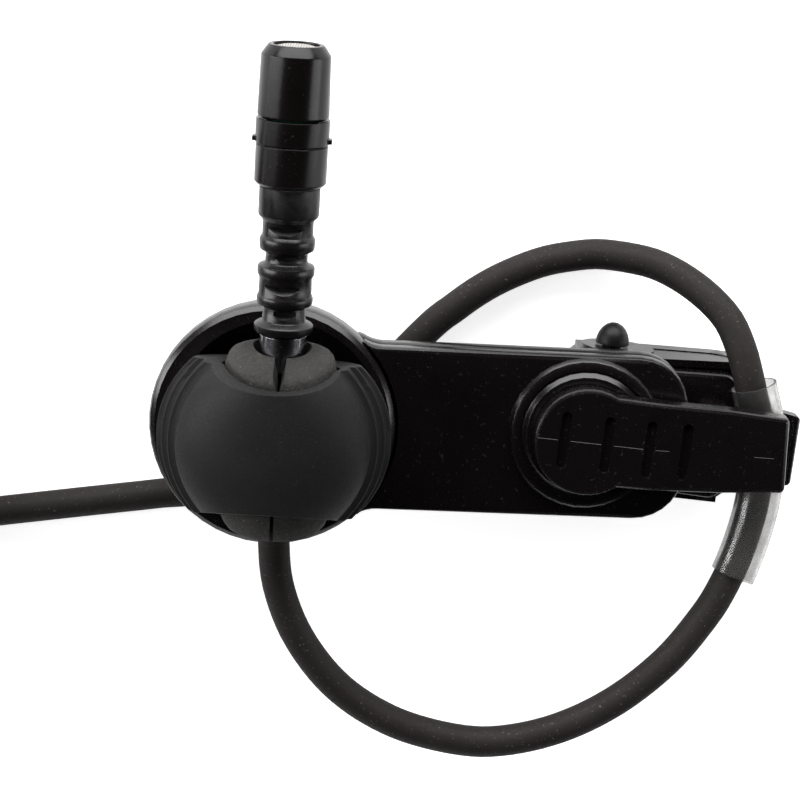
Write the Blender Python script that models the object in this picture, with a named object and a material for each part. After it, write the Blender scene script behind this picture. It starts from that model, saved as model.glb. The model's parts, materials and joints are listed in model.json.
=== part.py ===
"""Lavalier microphone on a swivelling ball mount, with its tie clip, lead and plug.

Lengths are in millimetres and become metres where a mesh is made. The clip lies on its back:
z = 0 is the clip's flat back, +Z points away from the cloth it grips, +X points to the tips of
the jaws, and the origin is on the axis that the arm swivels about.
"""
import math

import bmesh
import bpy
from mathutils import Matrix, Vector

MM = 0.001

# Clearances
FIT = 0.15            # between seated or running pieces of this small assembly
CORD_GAP = 0.3        # between a stretch of lead and what it meets, face to face

# Clip: hinge, jaws and their shared widths
HINGE_X = 1.9
HINGE_Z = 3.4
PIN_R = 0.75
PIN_HEAD_R = 1.37
PIN_HEAD_HIGH = 1.75
EAR_R = 2.7
BOSS_OUT = 0.35       # how far the round hinge bosses stand out of the flanges
JAW_PLATE = 1.6
HINGE_HALF = 5.7      # half the rear jaw's width at the swivel axis ...
JAW_SPREAD = 0.033    # ... and what it gains for each millimetre towards the tips
GRIP_HALF = 3.9
GRIP_NECK_X = (-2.2, -0.2)
FLANGE_WALL = 0.75
FLANGE_LEAN = 0.15
FLANGE_HIGH = 4.7
FLANGE_HIGH_END = 4.0
FLANGE_END_X = 12.1
GRIP_X = -9.5
JAW_BEND_X = 11.0
JAW_TIP_X = 17.8
JAW_TIP_LOW = 4.3
JAW_TIP_THICK = 1.4
TIP_HALF = 2.9
REAR_TIP_Y = -0.6
LEG_LOW = 3.4
LEG_HIGH = 6.0
LEG_LEFT_X = -2.6
LEG_RIGHT_X = 12.2
LEG_CORNER = 1.2
BARREL_R = HINGE_Z - JAW_PLATE - FIT

# Clip: lever over the arm and the web that joins it to the leg
LEVER_ROUND_R = 4.27
LEVER_THICK = 2.1
LEVER_TOP = 13.0
LEVER_SLOPE_X = 5.0
LEVER_HALF = 3.37
LEVER_RAISE = 0.43    # how much wider the lever is on its +Y side
LEVER_SLANT = 0.25    # how far its tip is cut askew
LEVER_TIP_X = 16.0
LEVER_TIP_HALF = 2.93
LEVER_TIP_TOP = 11.1
TIP_PAD = 9.2         # height of the lever's biting face
WEB_X = 9.2
WEB_END_X = 11.5
WEB_HALF = 3.1
DIMPLE_X = (-1.9, 1.5, 4.8, 7.7)
DIMPLE_LONG = 4.6
DIMPLE_WIDE = 0.8
DIMPLE_DEEP = 0.3

# Arm: two shells, boss and pivot
ARM_TURN = 184.15     # degrees from +X to the arm, about the swivel axis
ARM_REACH = 24.45      # from the swivel axis to the ball's centre
ARM_WIDE = 6.94       # from the swivel axis to the arm's long edges
ARM_NARROW = 6.27
ARM_END = 8.1
ARM_CORNER = 4.0
ARM_LOW = 6.3
SHELL_THICK = 1.7
SHELL_SEAM = 0.15
BOSS_R = 6.1
BOSS_HIGH = 0.7
PIVOT_R = 1.5
WASHER_R = 3.4
WASHER_THICK = 0.6
PIVOT_SEAT = 0.5

# Cup and ball
BALL_Z = 14.5
BALL_R = 9.05
SOCKET_PLAY = 0.3
CUP_R = 9.85
CUP_SHIFT = (0.4, 0.35)    # from the ball's centre to the cup's outside, in the arm's frame
CUP_RIM_Z = 10.2
CUP_BACK_Z = 2.7
CUP_FLARE = 3.0
CUP_STEPS = 48
BALL_TURN = 3.05      # degrees from +Y to the microphone, about the cup's axis
BALL_RISE = 3.0       # degrees that the microphone rises from the cup's rim plane
BALL_ENDS = (5.96, 6.35)   # from its centre to its rear and front ends, at the ribs
FRONT_LEANS = (0.36, 0.29)  # how much each end falls away towards the front
BACK_LEAN = 0.2        # ... and towards the back
RIB_Z = 2.0           # height of the ribs' middle, where the ends reach furthest
BALL_FRONT = 6.9
STEP_OUT = (0.0, 0.45, 1.0, 1.6)
STEP_Z = (0.9, 1.7, 2.5)
STUD_R = 1.0
STUD_HEAD_R = 1.8
STUD_HEAD_HIGH = 0.9
STUD_HEAD_Z = 7.6
STUD_TRAVEL = 1.5
NUT_R = 1.9
NUT_HIGH = 0.9

# Grommet halves that grip the microphone and its lead
PAD_HALF_X = 4.3
PAD_HALF_Z = 3.7
PAD_RAISE = 1.0
PAD_FRONT_S = 7.3
PAD_REAR_S = -7.5
PAD_LEAN = 0.3
PAD_SPLIT = 0.2
PAD_WAIST_X = 3.4
PAD_WAIST_Z = 2.9
MOUTH_PLAY = 0.2
MOUTH_FRONT_Z = 5.9
MOUTH_DEPTH_S = 3.9

# Microphone, along its own axis from the ball's centre
MIC_X = 0.3
FERRULE_S = 5.4
FERRULE_R = 1.8
COLLAR_S = 8.3
RELIEF_END_S = 19.55
RELIEF_BORE_R = 1.0   # the lead's jacket ends in the ferrule, and only its core goes on
HOUSING_S = 19.7
RING_S = 22.9
CAP_S = 24.85
TIP_S = 30.2
HOUSING_R = 2.72
RING_R = 2.78
CAP_R = 2.7
CAP_NARROW = 0.1
CAP_MOUTH_R = 2.08
MIC_WALL = 0.35
CAPSULE_LONG = 2.6
BOARD_LONG = 2.4
BOARD_THICK = 0.5

# Lead, sleeve and plug
LEAD_D = 2.5
LEAD_STEP = 3.6       # distance between the points of a free stretch
SLEEVE_BORE_R = LEAD_D / 2 + FIT
SLEEVE_WALL = 0.2
SLEEVE_SLACK = 0.35   # how much further the sleeve reaches outside the lead's curve
SLEEVE_START_Y = -10.6
SLEEVE_END_Y = 5.2
SLEEVE_SIDES = 12
COIL_TURNS = 3        # turns in each layer
COIL_LAYERS = 4
COIL_PITCH = 2.95
COIL_R = 16.3
COIL_POINTS = 20
COIL_CENTRE = (-69.0, -1.0)
PLUG_R = 5.0
PLUG_LONG = 26.0
PLUG_WALL = 0.7
PLUG_X = -106.0       # the shell's cable end
PLUG_Y = -17.6
BOOT_LONG = 13.0
BOOT_R = 3.6
BOOT_END_R = 2.2
BOOT_RIBS = 4
CONTACT_COUNT = 4
CONTACT_R = 0.55
CONTACT_RING_R = 2.2
INSERT_LONG = 12.0
LATCH_LONG = 7.0
LATCH_WIDE = 3.0
LATCH_HIGH = 0.6
CLAMP_LONG = 5.0

# Torsion spring on the hinge pin
SPRING_WIRE = 0.4
SPRING_MEAN_R = 1.35
SPRING_TURNS = 4
SPRING_PITCH = 0.82
SPRING_ARM = 3.2
SPRING_STEPS = 8     # points in each curl

# The lead's route, chosen by hand: out of the ball, round in a loop to the jaws, ...
LOOP_ROUTE = (
    (-22.9, -13.9, 13.9), (-20.8, -18.2, 13.7), (-17.3, -22.1, 13.2), (-12.8, -24.7, 12.6),
    (-7.9, -25.9, 12.0), (-3.8, -25.9, 11.5), (0.9, -24.5, 10.9), (5.3, -21.9, 10.2),
    (9.1, -18.2, 9.6), (11.7, -14.3, 9.0), (12.9, -11.8, 8.6), (13.8, -9.0, 8.2),
    (14.4, -6.1, 7.75), (14.6, -3.6, 7.5), (14.4, -0.7, 7.45), (13.9, 2.1, 7.43),
    (13.15, 4.1, 7.66), (12.6, 5.6, 7.7),
)
# ... and on from the jaws under the arm to where the spare lead lies coiled.
TAIL_ROUTE = (
    (11.8, 7.65, 7.2), (10.7, 9.6, 6.3), (9.3, 10.9, 5.3), (7.7, 11.9, 4.3), (6.1, 12.6, 3.4),
    (4.5, 13.05, 2.7), (2.8, 13.2, 2.1), (1.2, 13.2, 1.6), (-0.3, 13.1, 1.38), (-2.1, 12.7, 1.3),
    (-4.1, 12.1, 1.3), (-6.0, 11.2, 1.3), (-8.0, 10.0, 1.3), (-9.7, 8.7, 1.3),
    (-11.1, 7.4, 1.3), (-13.0, 5.5, 1.3), (-18.0, -0.8, 1.3), (-24.0, -6.8, 1.3),
    (-30.0, -10.2, 1.3), (-34.0, -11.2, 1.3), (-39.7, -12.5, 1.3), (-46.2, -14.0, 1.3),
    (-53.0, -15.6, 1.3), (-58.0, -16.7, 1.3),
)


# ---------------------------------------------------------------- materials and mesh helpers

def finish(name, colour, roughness, metallic=0.0):
    """A plain Principled material."""
    made = bpy.data.materials.new(name)
    made.use_nodes = True
    shader = made.node_tree.nodes["Principled BSDF"]
    shader.inputs["Base Color"].default_value = (*colour, 1.0)
    shader.inputs["Roughness"].default_value = roughness
    shader.inputs["Metallic"].default_value = metallic
    made.diffuse_color = (*colour, 1.0)
    return made


def add_object(name, data, material, parent):
    """Put data in the scene: a finished piece, or a hidden cutter where material is None."""
    made = bpy.data.objects.new(name, data)
    bpy.context.scene.collection.objects.link(made)
    made.parent = parent
    if material is None:
        made.hide_render = True
        made.display_type = "WIRE"
    else:
        data.materials.append(material)
    return made


def loft(name, rings, material, parent=None):
    """A closed body through rings of (x, y, z) points; a ring of one point closes to a tip.

    Rings without a tip at the ends are capped flat.
    """
    work = bmesh.new()
    rows = [[work.verts.new(Vector(point) * MM) for point in ring] for ring in rings]
    for low, high in zip(rows, rows[1:]):
        count = max(len(low), len(high))
        for i in range(count):
            j = (i + 1) % count
            if len(low) == 1:
                work.faces.new((low[0], high[j], high[i]))
            elif len(high) == 1:
                work.faces.new((low[i], low[j], high[0]))
            else:
                work.faces.new((low[i], low[j], high[j], high[i]))
    for row in (rows[0], rows[-1]):
        if len(row) > 1:
            work.faces.new(row)
    return close_mesh(name, work, material, parent)


def close_mesh(name, work, material, parent):
    """Turn the faces outwards, shade the round ones smooth and add the object."""
    bmesh.ops.recalc_face_normals(work, faces=work.faces)
    mesh = bpy.data.meshes.new(name)
    work.to_mesh(mesh)
    work.free()
    mesh.shade_smooth()
    mesh.set_sharp_from_angle(angle=math.radians(32))
    return add_object(name, mesh, material, parent)


AXES = {
    "X": lambda along, a, b: (along, a, b),
    "Y": lambda along, a, b: (b, along, a),
    "Z": lambda along, a, b: (a, b, along),
}


def circle(along, radius, axis, centre, steps):
    """A ring of points round an axis; a radius of 0 gives one point."""
    if radius == 0:
        return [tuple(c + p for c, p in zip(centre, AXES[axis](along, 0, 0)))]
    ring = []
    for i in range(steps):
        angle = math.tau * (i + 0.5) / steps
        point = AXES[axis](along, radius * math.cos(angle), radius * math.sin(angle))
        ring.append(tuple(c + p for c, p in zip(centre, point)))
    return ring


def turned(name, profile, material, parent=None, axis="Z", centre=(0, 0, 0), steps=32):
    """A turned piece from (distance along the axis, radius) pairs, end to end."""
    rings = [circle(along, radius, axis, centre, steps) for along, radius in profile]
    return loft(name, rings, material, parent)


def pipe(name, outer, inner, material, parent=None, axis="Z", centre=(0, 0, 0), steps=32):
    """A turned ring: its outer profile one way and its inner profile back again."""
    work = bmesh.new()
    rows = []
    for along, radius in (*outer, *reversed(inner)):
        ring = circle(along, radius, axis, centre, steps)
        rows.append([work.verts.new(Vector(point) * MM) for point in ring])
    for low, high in zip(rows, rows[1:] + rows[:1]):
        for i in range(steps):
            j = (i + 1) % steps
            work.faces.new((low[i], low[j], high[j], high[i]))
    return close_mesh(name, work, material, parent)


def prism(name, outline, low, high, material, parent=None, axis="Z"):
    """An outline of (a, b) points pushed from low to high along an axis."""
    rings = [[AXES[axis](level, a, b) for a, b in outline] for level in (low, high)]
    return loft(name, rings, material, parent)


def side_prism(name, outline, low, high, material, parent=None):
    """A side view of (x, z) points pushed from low to high along Y."""
    rings = [[(x, level, z) for x, z in outline] for level in (low, high)]
    return loft(name, rings, material, parent)


def box(name, x, y, z, material=None, parent=None):
    """A plain block between pairs of limits."""
    return prism(name, ((x[0], y[0]), (x[1], y[0]), (x[1], y[1]), (x[0], y[1])), *z,
                 material, parent)


def arc(centre, radius, start, end, steps=8):
    """Points of an arc between two angles in degrees."""
    points = []
    for i in range(steps + 1):
        angle = math.radians(start + (end - start) * i / steps)
        points.append((centre[0] + radius * math.cos(angle), centre[1] + radius * math.sin(angle)))
    return points


def rounded(corners, radii, steps=5):
    """An outline whose corners, listed anticlockwise, are rounded to the given radii."""
    outline = []
    count = len(corners)
    for i, corner in enumerate(corners):
        here = Vector(corner)
        if radii[i] == 0:
            outline.append(tuple(here))
            continue
        before = (Vector(corners[i - 1]) - here).normalized()
        after = (Vector(corners[(i + 1) % count]) - here).normalized()
        half = before.angle(after) / 2
        middle = here + (before + after).normalized() * radii[i] / math.sin(half)
        first = here + before * radii[i] / math.tan(half)
        last = here + after * radii[i] / math.tan(half)
        start = math.atan2(first.y - middle.y, first.x - middle.x)
        sweep = math.atan2(last.y - middle.y, last.x - middle.x) - start
        sweep = (sweep + math.pi) % math.tau - math.pi
        for k in range(steps + 1):
            angle = start + sweep * k / steps
            outline.append((middle.x + radii[i] * math.cos(angle),
                            middle.y + radii[i] * math.sin(angle)))
    return outline


def combine(piece, tool, operation="DIFFERENCE"):
    """Cut tool out of piece, join it on, or keep what they share."""
    step = piece.modifiers.new(tool.name, "BOOLEAN")
    step.operation = operation
    step.solver = "EXACT"
    step.object = tool


def soften(piece, width, segments=2, angle=40):
    """Round the sharp edges of a moulding."""
    step = piece.modifiers.new("rounded edges", "BEVEL")
    step.width = width * MM
    step.segments = segments
    step.limit_method = "ANGLE"
    step.angle_limit = math.radians(angle)
    step.use_clamp_overlap = True


def frame_empty(name, location, turn=(0, 0, 0), parent=None):
    """An empty on a joint's axis, which carries the pieces that move about it."""
    made = bpy.data.objects.new(name, None)
    bpy.context.scene.collection.objects.link(made)
    made.parent = parent
    made.location = Vector(location) * MM
    made.rotation_euler = [math.radians(angle) for angle in turn]
    return made


# ---------------------------------------------------------------- clip

def lever_top(x):
    """Height of the lever's outer face, flat over the pivot and sloping down to the tip."""
    if x < LEVER_SLOPE_X:
        return LEVER_TOP
    slope = (LEVER_TOP - LEVER_TIP_TOP) / (LEVER_TIP_X - LEVER_SLOPE_X)
    return LEVER_TOP - slope * (x - LEVER_SLOPE_X)


def flange_outside(x):
    """How far the rear jaw reaches to each side; it spreads towards the tips."""
    return HINGE_HALF + JAW_SPREAD * x


def leg_half(x):
    """Half the width of the front jaw's leg, which runs between the flanges."""
    return flange_outside(x) - FLANGE_WALL - FIT


def make_rear_jaw(hinge, plastic):
    """The jaw behind the cloth: a plate that bends up to the tip, and a flange each side."""
    plate_side = rounded(
        ((GRIP_X, 0), (JAW_BEND_X, 0), (JAW_TIP_X, JAW_TIP_LOW),
         (JAW_TIP_X, JAW_TIP_LOW + JAW_TIP_THICK), (JAW_BEND_X - 0.5, JAW_PLATE),
         (GRIP_X, JAW_PLATE)),
        (0.5, 3.0, 0.5, 0.4, 3.0, 0.5))
    jaw = side_prism("rear_jaw", plate_side, -HINGE_HALF - 2, HINGE_HALF + 2, plastic)
    low_y = REAR_TIP_Y - TIP_HALF
    high_y = REAR_TIP_Y + TIP_HALF
    shoulder_x = FLANGE_END_X + 2.2
    end_y = flange_outside(FLANGE_END_X)
    neck_y = flange_outside(GRIP_NECK_X[1])
    plan = rounded(
        ((GRIP_X, -GRIP_HALF), (GRIP_NECK_X[0], -GRIP_HALF), (GRIP_NECK_X[1], -neck_y),
         (FLANGE_END_X, -end_y), (shoulder_x, low_y - 0.2), (JAW_TIP_X, low_y),
         (JAW_TIP_X, high_y), (shoulder_x, high_y + 0.2), (FLANGE_END_X, end_y),
         (GRIP_NECK_X[1], neck_y), (GRIP_NECK_X[0], GRIP_HALF), (GRIP_X, GRIP_HALF)),
        (2.0, 1.0, 0.8, 1.0, 1.0, 0.5, 0.5, 1.0, 1.0, 0.8, 1.0, 2.0))
    combine(jaw, prism("jaw_plan", plan, -1, JAW_TIP_LOW + 4, None), "INTERSECT")
    ear = arc((HINGE_X, HINGE_Z), EAR_R, 35, 180, 10)
    flange = [(HINGE_X - EAR_R, 0.2), (FLANGE_END_X, 0.2), (FLANGE_END_X, FLANGE_HIGH_END),
              (HINGE_X + EAR_R + 2.2, FLANGE_HIGH), *ear]
    for side, name in ((1, "left"), (-1, "right")):
        outer = [(x, side * (flange_outside(x) - 0.02 - FLANGE_LEAN * z / FLANGE_HIGH), z)
                 for x, z in flange]
        inner = [(x, side * (flange_outside(x) - FLANGE_WALL), z) for x, z in flange]
        combine(jaw, loft(name + "_flange", (inner, outer), None), "UNION")
        boss = [*arc((HINGE_X, HINGE_Z), EAR_R - 0.2, 90, 270),
                *arc((HINGE_X + 1.0, HINGE_Z), EAR_R - 0.2, -90, 90)]
        reach = sorted((side * (flange_outside(HINGE_X) - FLANGE_WALL / 2),
                        side * (flange_outside(HINGE_X) + BOSS_OUT)))
        combine(jaw, side_prism(name + "_boss", boss, *reach, None), "UNION")
    hole = turned("jaw_hinge_hole", ((-9, PIN_R + FIT), (9, PIN_R + FIT)), None, None, "Y",
                  (HINGE_X, 0, HINGE_Z), 24)
    combine(jaw, hole)
    jaw.parent = hinge
    jaw.matrix_parent_inverse = Matrix.Translation(-hinge.location)
    return jaw


def make_front_jaw(plastic):
    """The jaw in front: a lever over the arm, a web, and a leg that carries hinge and pivot."""
    high_y = LEVER_HALF + LEVER_RAISE
    tip_low = -LEVER_TIP_HALF
    tip_high = LEVER_TIP_HALF + LEVER_RAISE
    necks = [math.degrees(math.asin(y / LEVER_ROUND_R)) for y in (high_y, LEVER_HALF)]
    plan = [*arc((0, 0), LEVER_ROUND_R, necks[0], 360 - necks[1], 26),
            (JAW_BEND_X, (tip_low - LEVER_HALF) / 2),
            *rounded(((LEVER_TIP_X + LEVER_SLANT, tip_low), (LEVER_TIP_X - LEVER_SLANT, tip_high),
                      (0, 0)), (0.4, 0.4, 0))[:-1],
            (JAW_BEND_X, (tip_high + high_y) / 2)]
    jaw = prism("front_jaw", plan, TIP_PAD - 1, LEVER_TOP + 1, plastic)
    low = LEVER_TOP - LEVER_THICK
    side = rounded(
        ((-LEVER_ROUND_R - 2, low), (LEVER_SLOPE_X + 1, low), (LEG_RIGHT_X, TIP_PAD + 0.5),
         (LEG_RIGHT_X + 0.7, TIP_PAD), (LEVER_TIP_X + 2, TIP_PAD),
         (LEVER_TIP_X + 2, lever_top(LEVER_TIP_X + 2)), (LEVER_SLOPE_X, LEVER_TOP),
         (-LEVER_ROUND_R - 2, LEVER_TOP)),
        (0, 6.0, 0.3, 0.3, 0, 0, 6.0, 0))
    combine(jaw, side_prism("lever_side", side, -LEVER_ROUND_R - 2, LEVER_ROUND_R + 2, None),
            "INTERSECT")
    soften(jaw, 0.45)
    leg_plan = rounded(
        ((LEG_LEFT_X, -leg_half(LEG_LEFT_X)), (LEG_RIGHT_X, -leg_half(LEG_RIGHT_X)),
         (LEG_RIGHT_X, leg_half(LEG_RIGHT_X)), (LEG_LEFT_X, leg_half(LEG_LEFT_X))),
        (1.0, LEG_CORNER, LEG_CORNER, 1.0))
    leg = prism("leg_block", leg_plan, LEG_LOW, LEG_HIGH, None)
    soften(leg, 0.3)
    combine(jaw, leg, "UNION")
    web_plan = rounded(((WEB_X, -WEB_HALF), (WEB_END_X, -WEB_HALF), (WEB_END_X, WEB_HALF),
                        (WEB_X, WEB_HALF)), (0.4, 0.6, 0.6, 0.4))
    combine(jaw, prism("web_block", web_plan, LEG_HIGH - 0.5, TIP_PAD + 1.4, None), "UNION")
    barrel_half = leg_half(HINGE_X) - 0.2
    barrel = turned("hinge_barrel", ((-barrel_half, BARREL_R), (barrel_half, BARREL_R)), None,
                    None, "Y", (HINGE_X, 0, HINGE_Z), 32)
    combine(jaw, barrel, "UNION")
    spring_r = SPRING_MEAN_R + SPRING_WIRE / 2 + FIT
    combine(jaw, box("spring_pocket", (LEG_LEFT_X + 0.7, HINGE_X + BARREL_R + 0.3),
                     (-spring_half(), spring_half()), (-1, HINGE_Z + spring_r)))
    combine(jaw, turned("leg_hinge_hole", ((-9, PIN_R + FIT), (9, PIN_R + FIT)), None, None, "Y",
                        (HINGE_X, 0, HINGE_Z), 24))
    seat = PIVOT_R + FIT
    for name, span in (("leg_seat", (LEG_HIGH - PIVOT_SEAT, LEG_HIGH + 1)),
                       ("lever_seat", (low - 1, low + PIVOT_SEAT))):
        combine(jaw, turned(name, [(z, seat) for z in span], None))
    for number, x in enumerate(DIMPLE_X):
        half = DIMPLE_LONG / 2 - DIMPLE_WIDE / 2
        groove = [*arc((x, half), DIMPLE_WIDE / 2, 0, 180, 5),
                  *arc((x, -half), DIMPLE_WIDE / 2, 180, 360, 5)]
        floor = lever_top(x) - DIMPLE_DEEP
        combine(jaw, prism(f"dimple_{number + 1}", groove, floor, LEVER_TOP + 1, None))
    return jaw


def spring_half():
    """Half the width of the pocket that holds the spring's curls."""
    return (SPRING_TURNS * SPRING_PITCH + SPRING_WIRE) / 2 + FIT + 0.1


def make_hinge_pin(steel):
    """A plain pin with a domed head, flush at its other end."""
    flush = flange_outside(HINGE_X) + BOSS_OUT
    head = flush + FIT
    profile = [(-flush, 0), (-flush, PIN_R - 0.15), (0.15 - flush, PIN_R), (head, PIN_R),
               (head, PIN_HEAD_R)]
    profile += [(head + PIN_HEAD_HIGH * math.sin(math.radians(a)),
                 PIN_HEAD_R * math.cos(math.radians(a))) for a in (15, 30, 45, 60, 75)]
    profile.append((head + PIN_HEAD_HIGH, 0))
    return turned("hinge_pin", profile, steel, None, "Y", (HINGE_X, 0, HINGE_Z), 24)


def tube(name, points, radius, material, sides_level=2, parent=None):
    """A round tube along points, as a curve with filled ends."""
    data = bpy.data.curves.new(name, "CURVE")
    data.dimensions = "3D"
    data.bevel_depth = radius * MM
    data.bevel_resolution = sides_level
    data.use_fill_caps = True
    spline = data.splines.new("POLY")
    spline.points.add(len(points) - 1)
    for place, point in zip(spline.points, points):
        place.co = (*(Vector(point) * MM), 1.0)
    return add_object(name, data, material, parent)


def make_torsion_spring(steel):
    """Curls round the hinge pin with two arms that push the grip ends apart."""
    count = SPRING_TURNS * SPRING_STEPS + SPRING_STEPS // 2
    width = SPRING_PITCH * count / SPRING_STEPS
    points = []
    for i in range(count + 1):
        angle = math.radians(-90) - math.tau * i / SPRING_STEPS
        y = width / 2 - width * i / count
        points.append((HINGE_X + SPRING_MEAN_R * math.cos(angle), y,
                       HINGE_Z + SPRING_MEAN_R * math.sin(angle)))
    low_arm = (HINGE_X - SPRING_ARM, width / 2, HINGE_Z - SPRING_MEAN_R)
    high_arm = (HINGE_X - SPRING_ARM, -width / 2, HINGE_Z + SPRING_MEAN_R)
    return tube("torsion_spring", [low_arm, *points, high_arm], SPRING_WIRE / 2, steel, 1)


def make_swivel(steel, nylon):
    """The pivot pin between leg and lever, and the washers that give the arm its drag."""
    low = LEVER_TOP - LEVER_THICK
    turned("swivel_pin", ((LEG_HIGH - PIVOT_SEAT + FIT, 0), (LEG_HIGH - PIVOT_SEAT + FIT, PIVOT_R),
                          (low + PIVOT_SEAT - FIT, PIVOT_R), (low + PIVOT_SEAT - FIT, 0)), steel)
    for name, z in (("rear_washer", LEG_HIGH + FIT), ("front_washer", low - FIT - WASHER_THICK)):
        span = (z, z + WASHER_THICK)
        pipe(name, [(level, WASHER_R) for level in span],
             [(level, PIVOT_R + FIT) for level in span], nylon, steps=24)


# ---------------------------------------------------------------- arm and cup

def arm_outline():
    """The arm in plan, in its own frame: rounded end, straight sides, fillets into the cup."""
    flares = []
    cup_x = ARM_REACH + CUP_SHIFT[0]
    for side, edge in ((1, ARM_WIDE), (-1, ARM_NARROW)):
        up = edge + CUP_FLARE - side * CUP_SHIFT[1]
        across = math.sqrt((CUP_R + CUP_FLARE) ** 2 - up ** 2)
        meet = math.degrees(math.atan2(-up, across))
        flare = arc((cup_x - across, edge + CUP_FLARE), CUP_FLARE - 0.05, -90, meet, 5)
        flare.append((cup_x - across * 0.4, up * 0.4))
        flares.append([(x, side * y) for x, y in flare])
    end = rounded(((-ARM_END, ARM_WIDE), (-ARM_END, -ARM_NARROW), (0, -ARM_NARROW), (0, ARM_WIDE)),
                  (ARM_CORNER, ARM_CORNER, 0, 0), 7)[:-2]
    return [*end, *flares[1], *reversed(flares[0])]


def make_arm(arm, plastic):
    """Two shells that meet in a seam; the back one carries the cup, the front one the boss."""
    outline = arm_outline()
    ball = (ARM_REACH, 0, 0)
    cup = (ARM_REACH + CUP_SHIFT[0], CUP_SHIFT[1], 0)
    seam = ARM_LOW + SHELL_THICK
    back = prism("arm_back_shell", outline, ARM_LOW, seam, plastic, arm)
    soften(back, 0.5)
    rise = CUP_RIM_Z - CUP_BACK_Z
    bowl = turned("cup_body", (
        (CUP_BACK_Z, 0), (CUP_BACK_Z, CUP_R * 0.32), (CUP_BACK_Z + rise * 0.06, CUP_R * 0.55),
        (CUP_BACK_Z + rise * 0.2, CUP_R * 0.78), (CUP_BACK_Z + rise * 0.38, CUP_R * 0.92),
        (CUP_BACK_Z + rise * 0.56, CUP_R * 0.985), (CUP_BACK_Z + rise * 0.72, CUP_R),
        (CUP_RIM_Z - 0.8, CUP_R), (CUP_RIM_Z - 0.3, CUP_R - 0.14), (CUP_RIM_Z, CUP_R - 0.5),
        (CUP_RIM_Z, 0)), None, arm, "Z", cup, CUP_STEPS)
    combine(back, bowl, "UNION")
    ball_steps = 14
    ball_r = BALL_R + SOCKET_PLAY
    half_turn = [math.radians(180 * i / ball_steps - 90) for i in range(ball_steps + 1)]
    hollow = [(BALL_Z + ball_r * math.sin(a), ball_r * max(0.0, math.cos(a))) for a in half_turn]
    hollow[0] = (hollow[0][0], 0)
    hollow[-1] = (hollow[-1][0], 0)
    combine(back, turned("socket", hollow, None, arm, "Z", ball, CUP_STEPS))
    combine(back, turned("stud_hole", ((0, STUD_R + FIT), (BALL_Z, STUD_R + FIT)), None, arm, "Z",
                         ball, 24))
    nut_top = CUP_BACK_Z + NUT_HIGH + 2 * FIT
    combine(back, turned("nut_seat", ((0, NUT_R + FIT), (nut_top, NUT_R + FIT)), None, arm, "Z",
                         ball, 24))
    bore = [(ARM_LOW - 1, PIVOT_R + FIT), (LEVER_TOP, PIVOT_R + FIT)]
    combine(back, turned("back_bore", bore, None, arm))
    washer_room = [(ARM_LOW - 1, WASHER_R + FIT), (LEG_HIGH + 2 * FIT + WASHER_THICK, WASHER_R + FIT)]
    combine(back, turned("rear_washer_room", washer_room, None, arm))

    front_low = seam + SHELL_SEAM
    front_high = front_low + SHELL_THICK
    front = prism("arm_front_shell", outline, front_low, front_high, plastic, arm)
    soften(front, 0.6)
    combine(front, turned("cup_room", ((seam - 1, CUP_R + FIT), (front_high + 1, CUP_R + FIT)), None,
                          arm, "Z", cup, CUP_STEPS))
    rings = ((0, 0.15), (0.2, 0.38), (0.5, 0.5), (0.85, 0.5), (1.05, 0.36), (1.2, 0.5),
             (1.4, BOSS_HIGH), (2.0, BOSS_HIGH))
    boss = turned("boss_body", [(front_high - 0.3, 0), (front_high - 0.3, BOSS_R),
                                *[(front_high + rise, BOSS_R - inward) for inward, rise in rings],
                                (front_high + BOSS_HIGH, 0)], None, arm, "Z", (0, 0, 0), 32)
    combine(front, boss, "UNION")
    combine(front, turned("front_bore", bore, None, arm))
    washer_floor = LEVER_TOP - LEVER_THICK - 2 * FIT - WASHER_THICK
    combine(front, turned("front_washer_room", ((washer_floor, WASHER_R + FIT),
                                                (LEVER_TOP, WASHER_R + FIT)), None, arm))


# ---------------------------------------------------------------- ball, stud and grommet

def ball_section(part):
    """The ball's outline across the microphone, from its rear end, -1, to its front end, 1."""
    rear = part < 0
    end = BALL_ENDS[0 if rear else 1]
    front_lean = FRONT_LEANS[0 if rear else 1]
    wide = math.sqrt(BALL_R ** 2 - (part * end) ** 2)
    front = BALL_FRONT - 0.4 * part ** 2
    side = []
    for i, z in enumerate(STEP_Z):
        side.append((wide - STEP_OUT[i], z - 0.1))
        side.append((wide - STEP_OUT[i + 1], z + 0.05))
    dome_wide = wide - STEP_OUT[-1]
    dome_high = front - STEP_Z[-1] - 0.1
    for i in range(1, 9):
        angle = math.radians(90 * i / 9)
        side.append((dome_wide * math.cos(angle), STEP_Z[-1] + 0.1 + dome_high * math.sin(angle)))
    top = [(0, front)]
    bottom = [(wide * math.cos(a), wide * math.sin(a))
              for a in (math.radians(-180 * i / 14) for i in range(15))]
    mirrored = [(-x, z) for x, z in side]
    section = [*side, *top, *reversed(mirrored), *reversed(bottom)]
    placed = []
    for x, z in section:
        lean = front_lean * (z - RIB_Z) if z > RIB_Z else BACK_LEAN * (RIB_Z - z)
        placed.append((x, part * (end - lean), z))
    return placed


def egg(half, low, high, middle, steps=28):
    """An oval that is half wide at height middle and reaches from low to high."""
    outline = []
    for i in range(steps):
        angle = math.tau * i / steps
        tall = high - middle if math.sin(angle) > 0 else middle - low
        outline.append((half * math.cos(angle), middle + tall * math.sin(angle)))
    return outline


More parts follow.
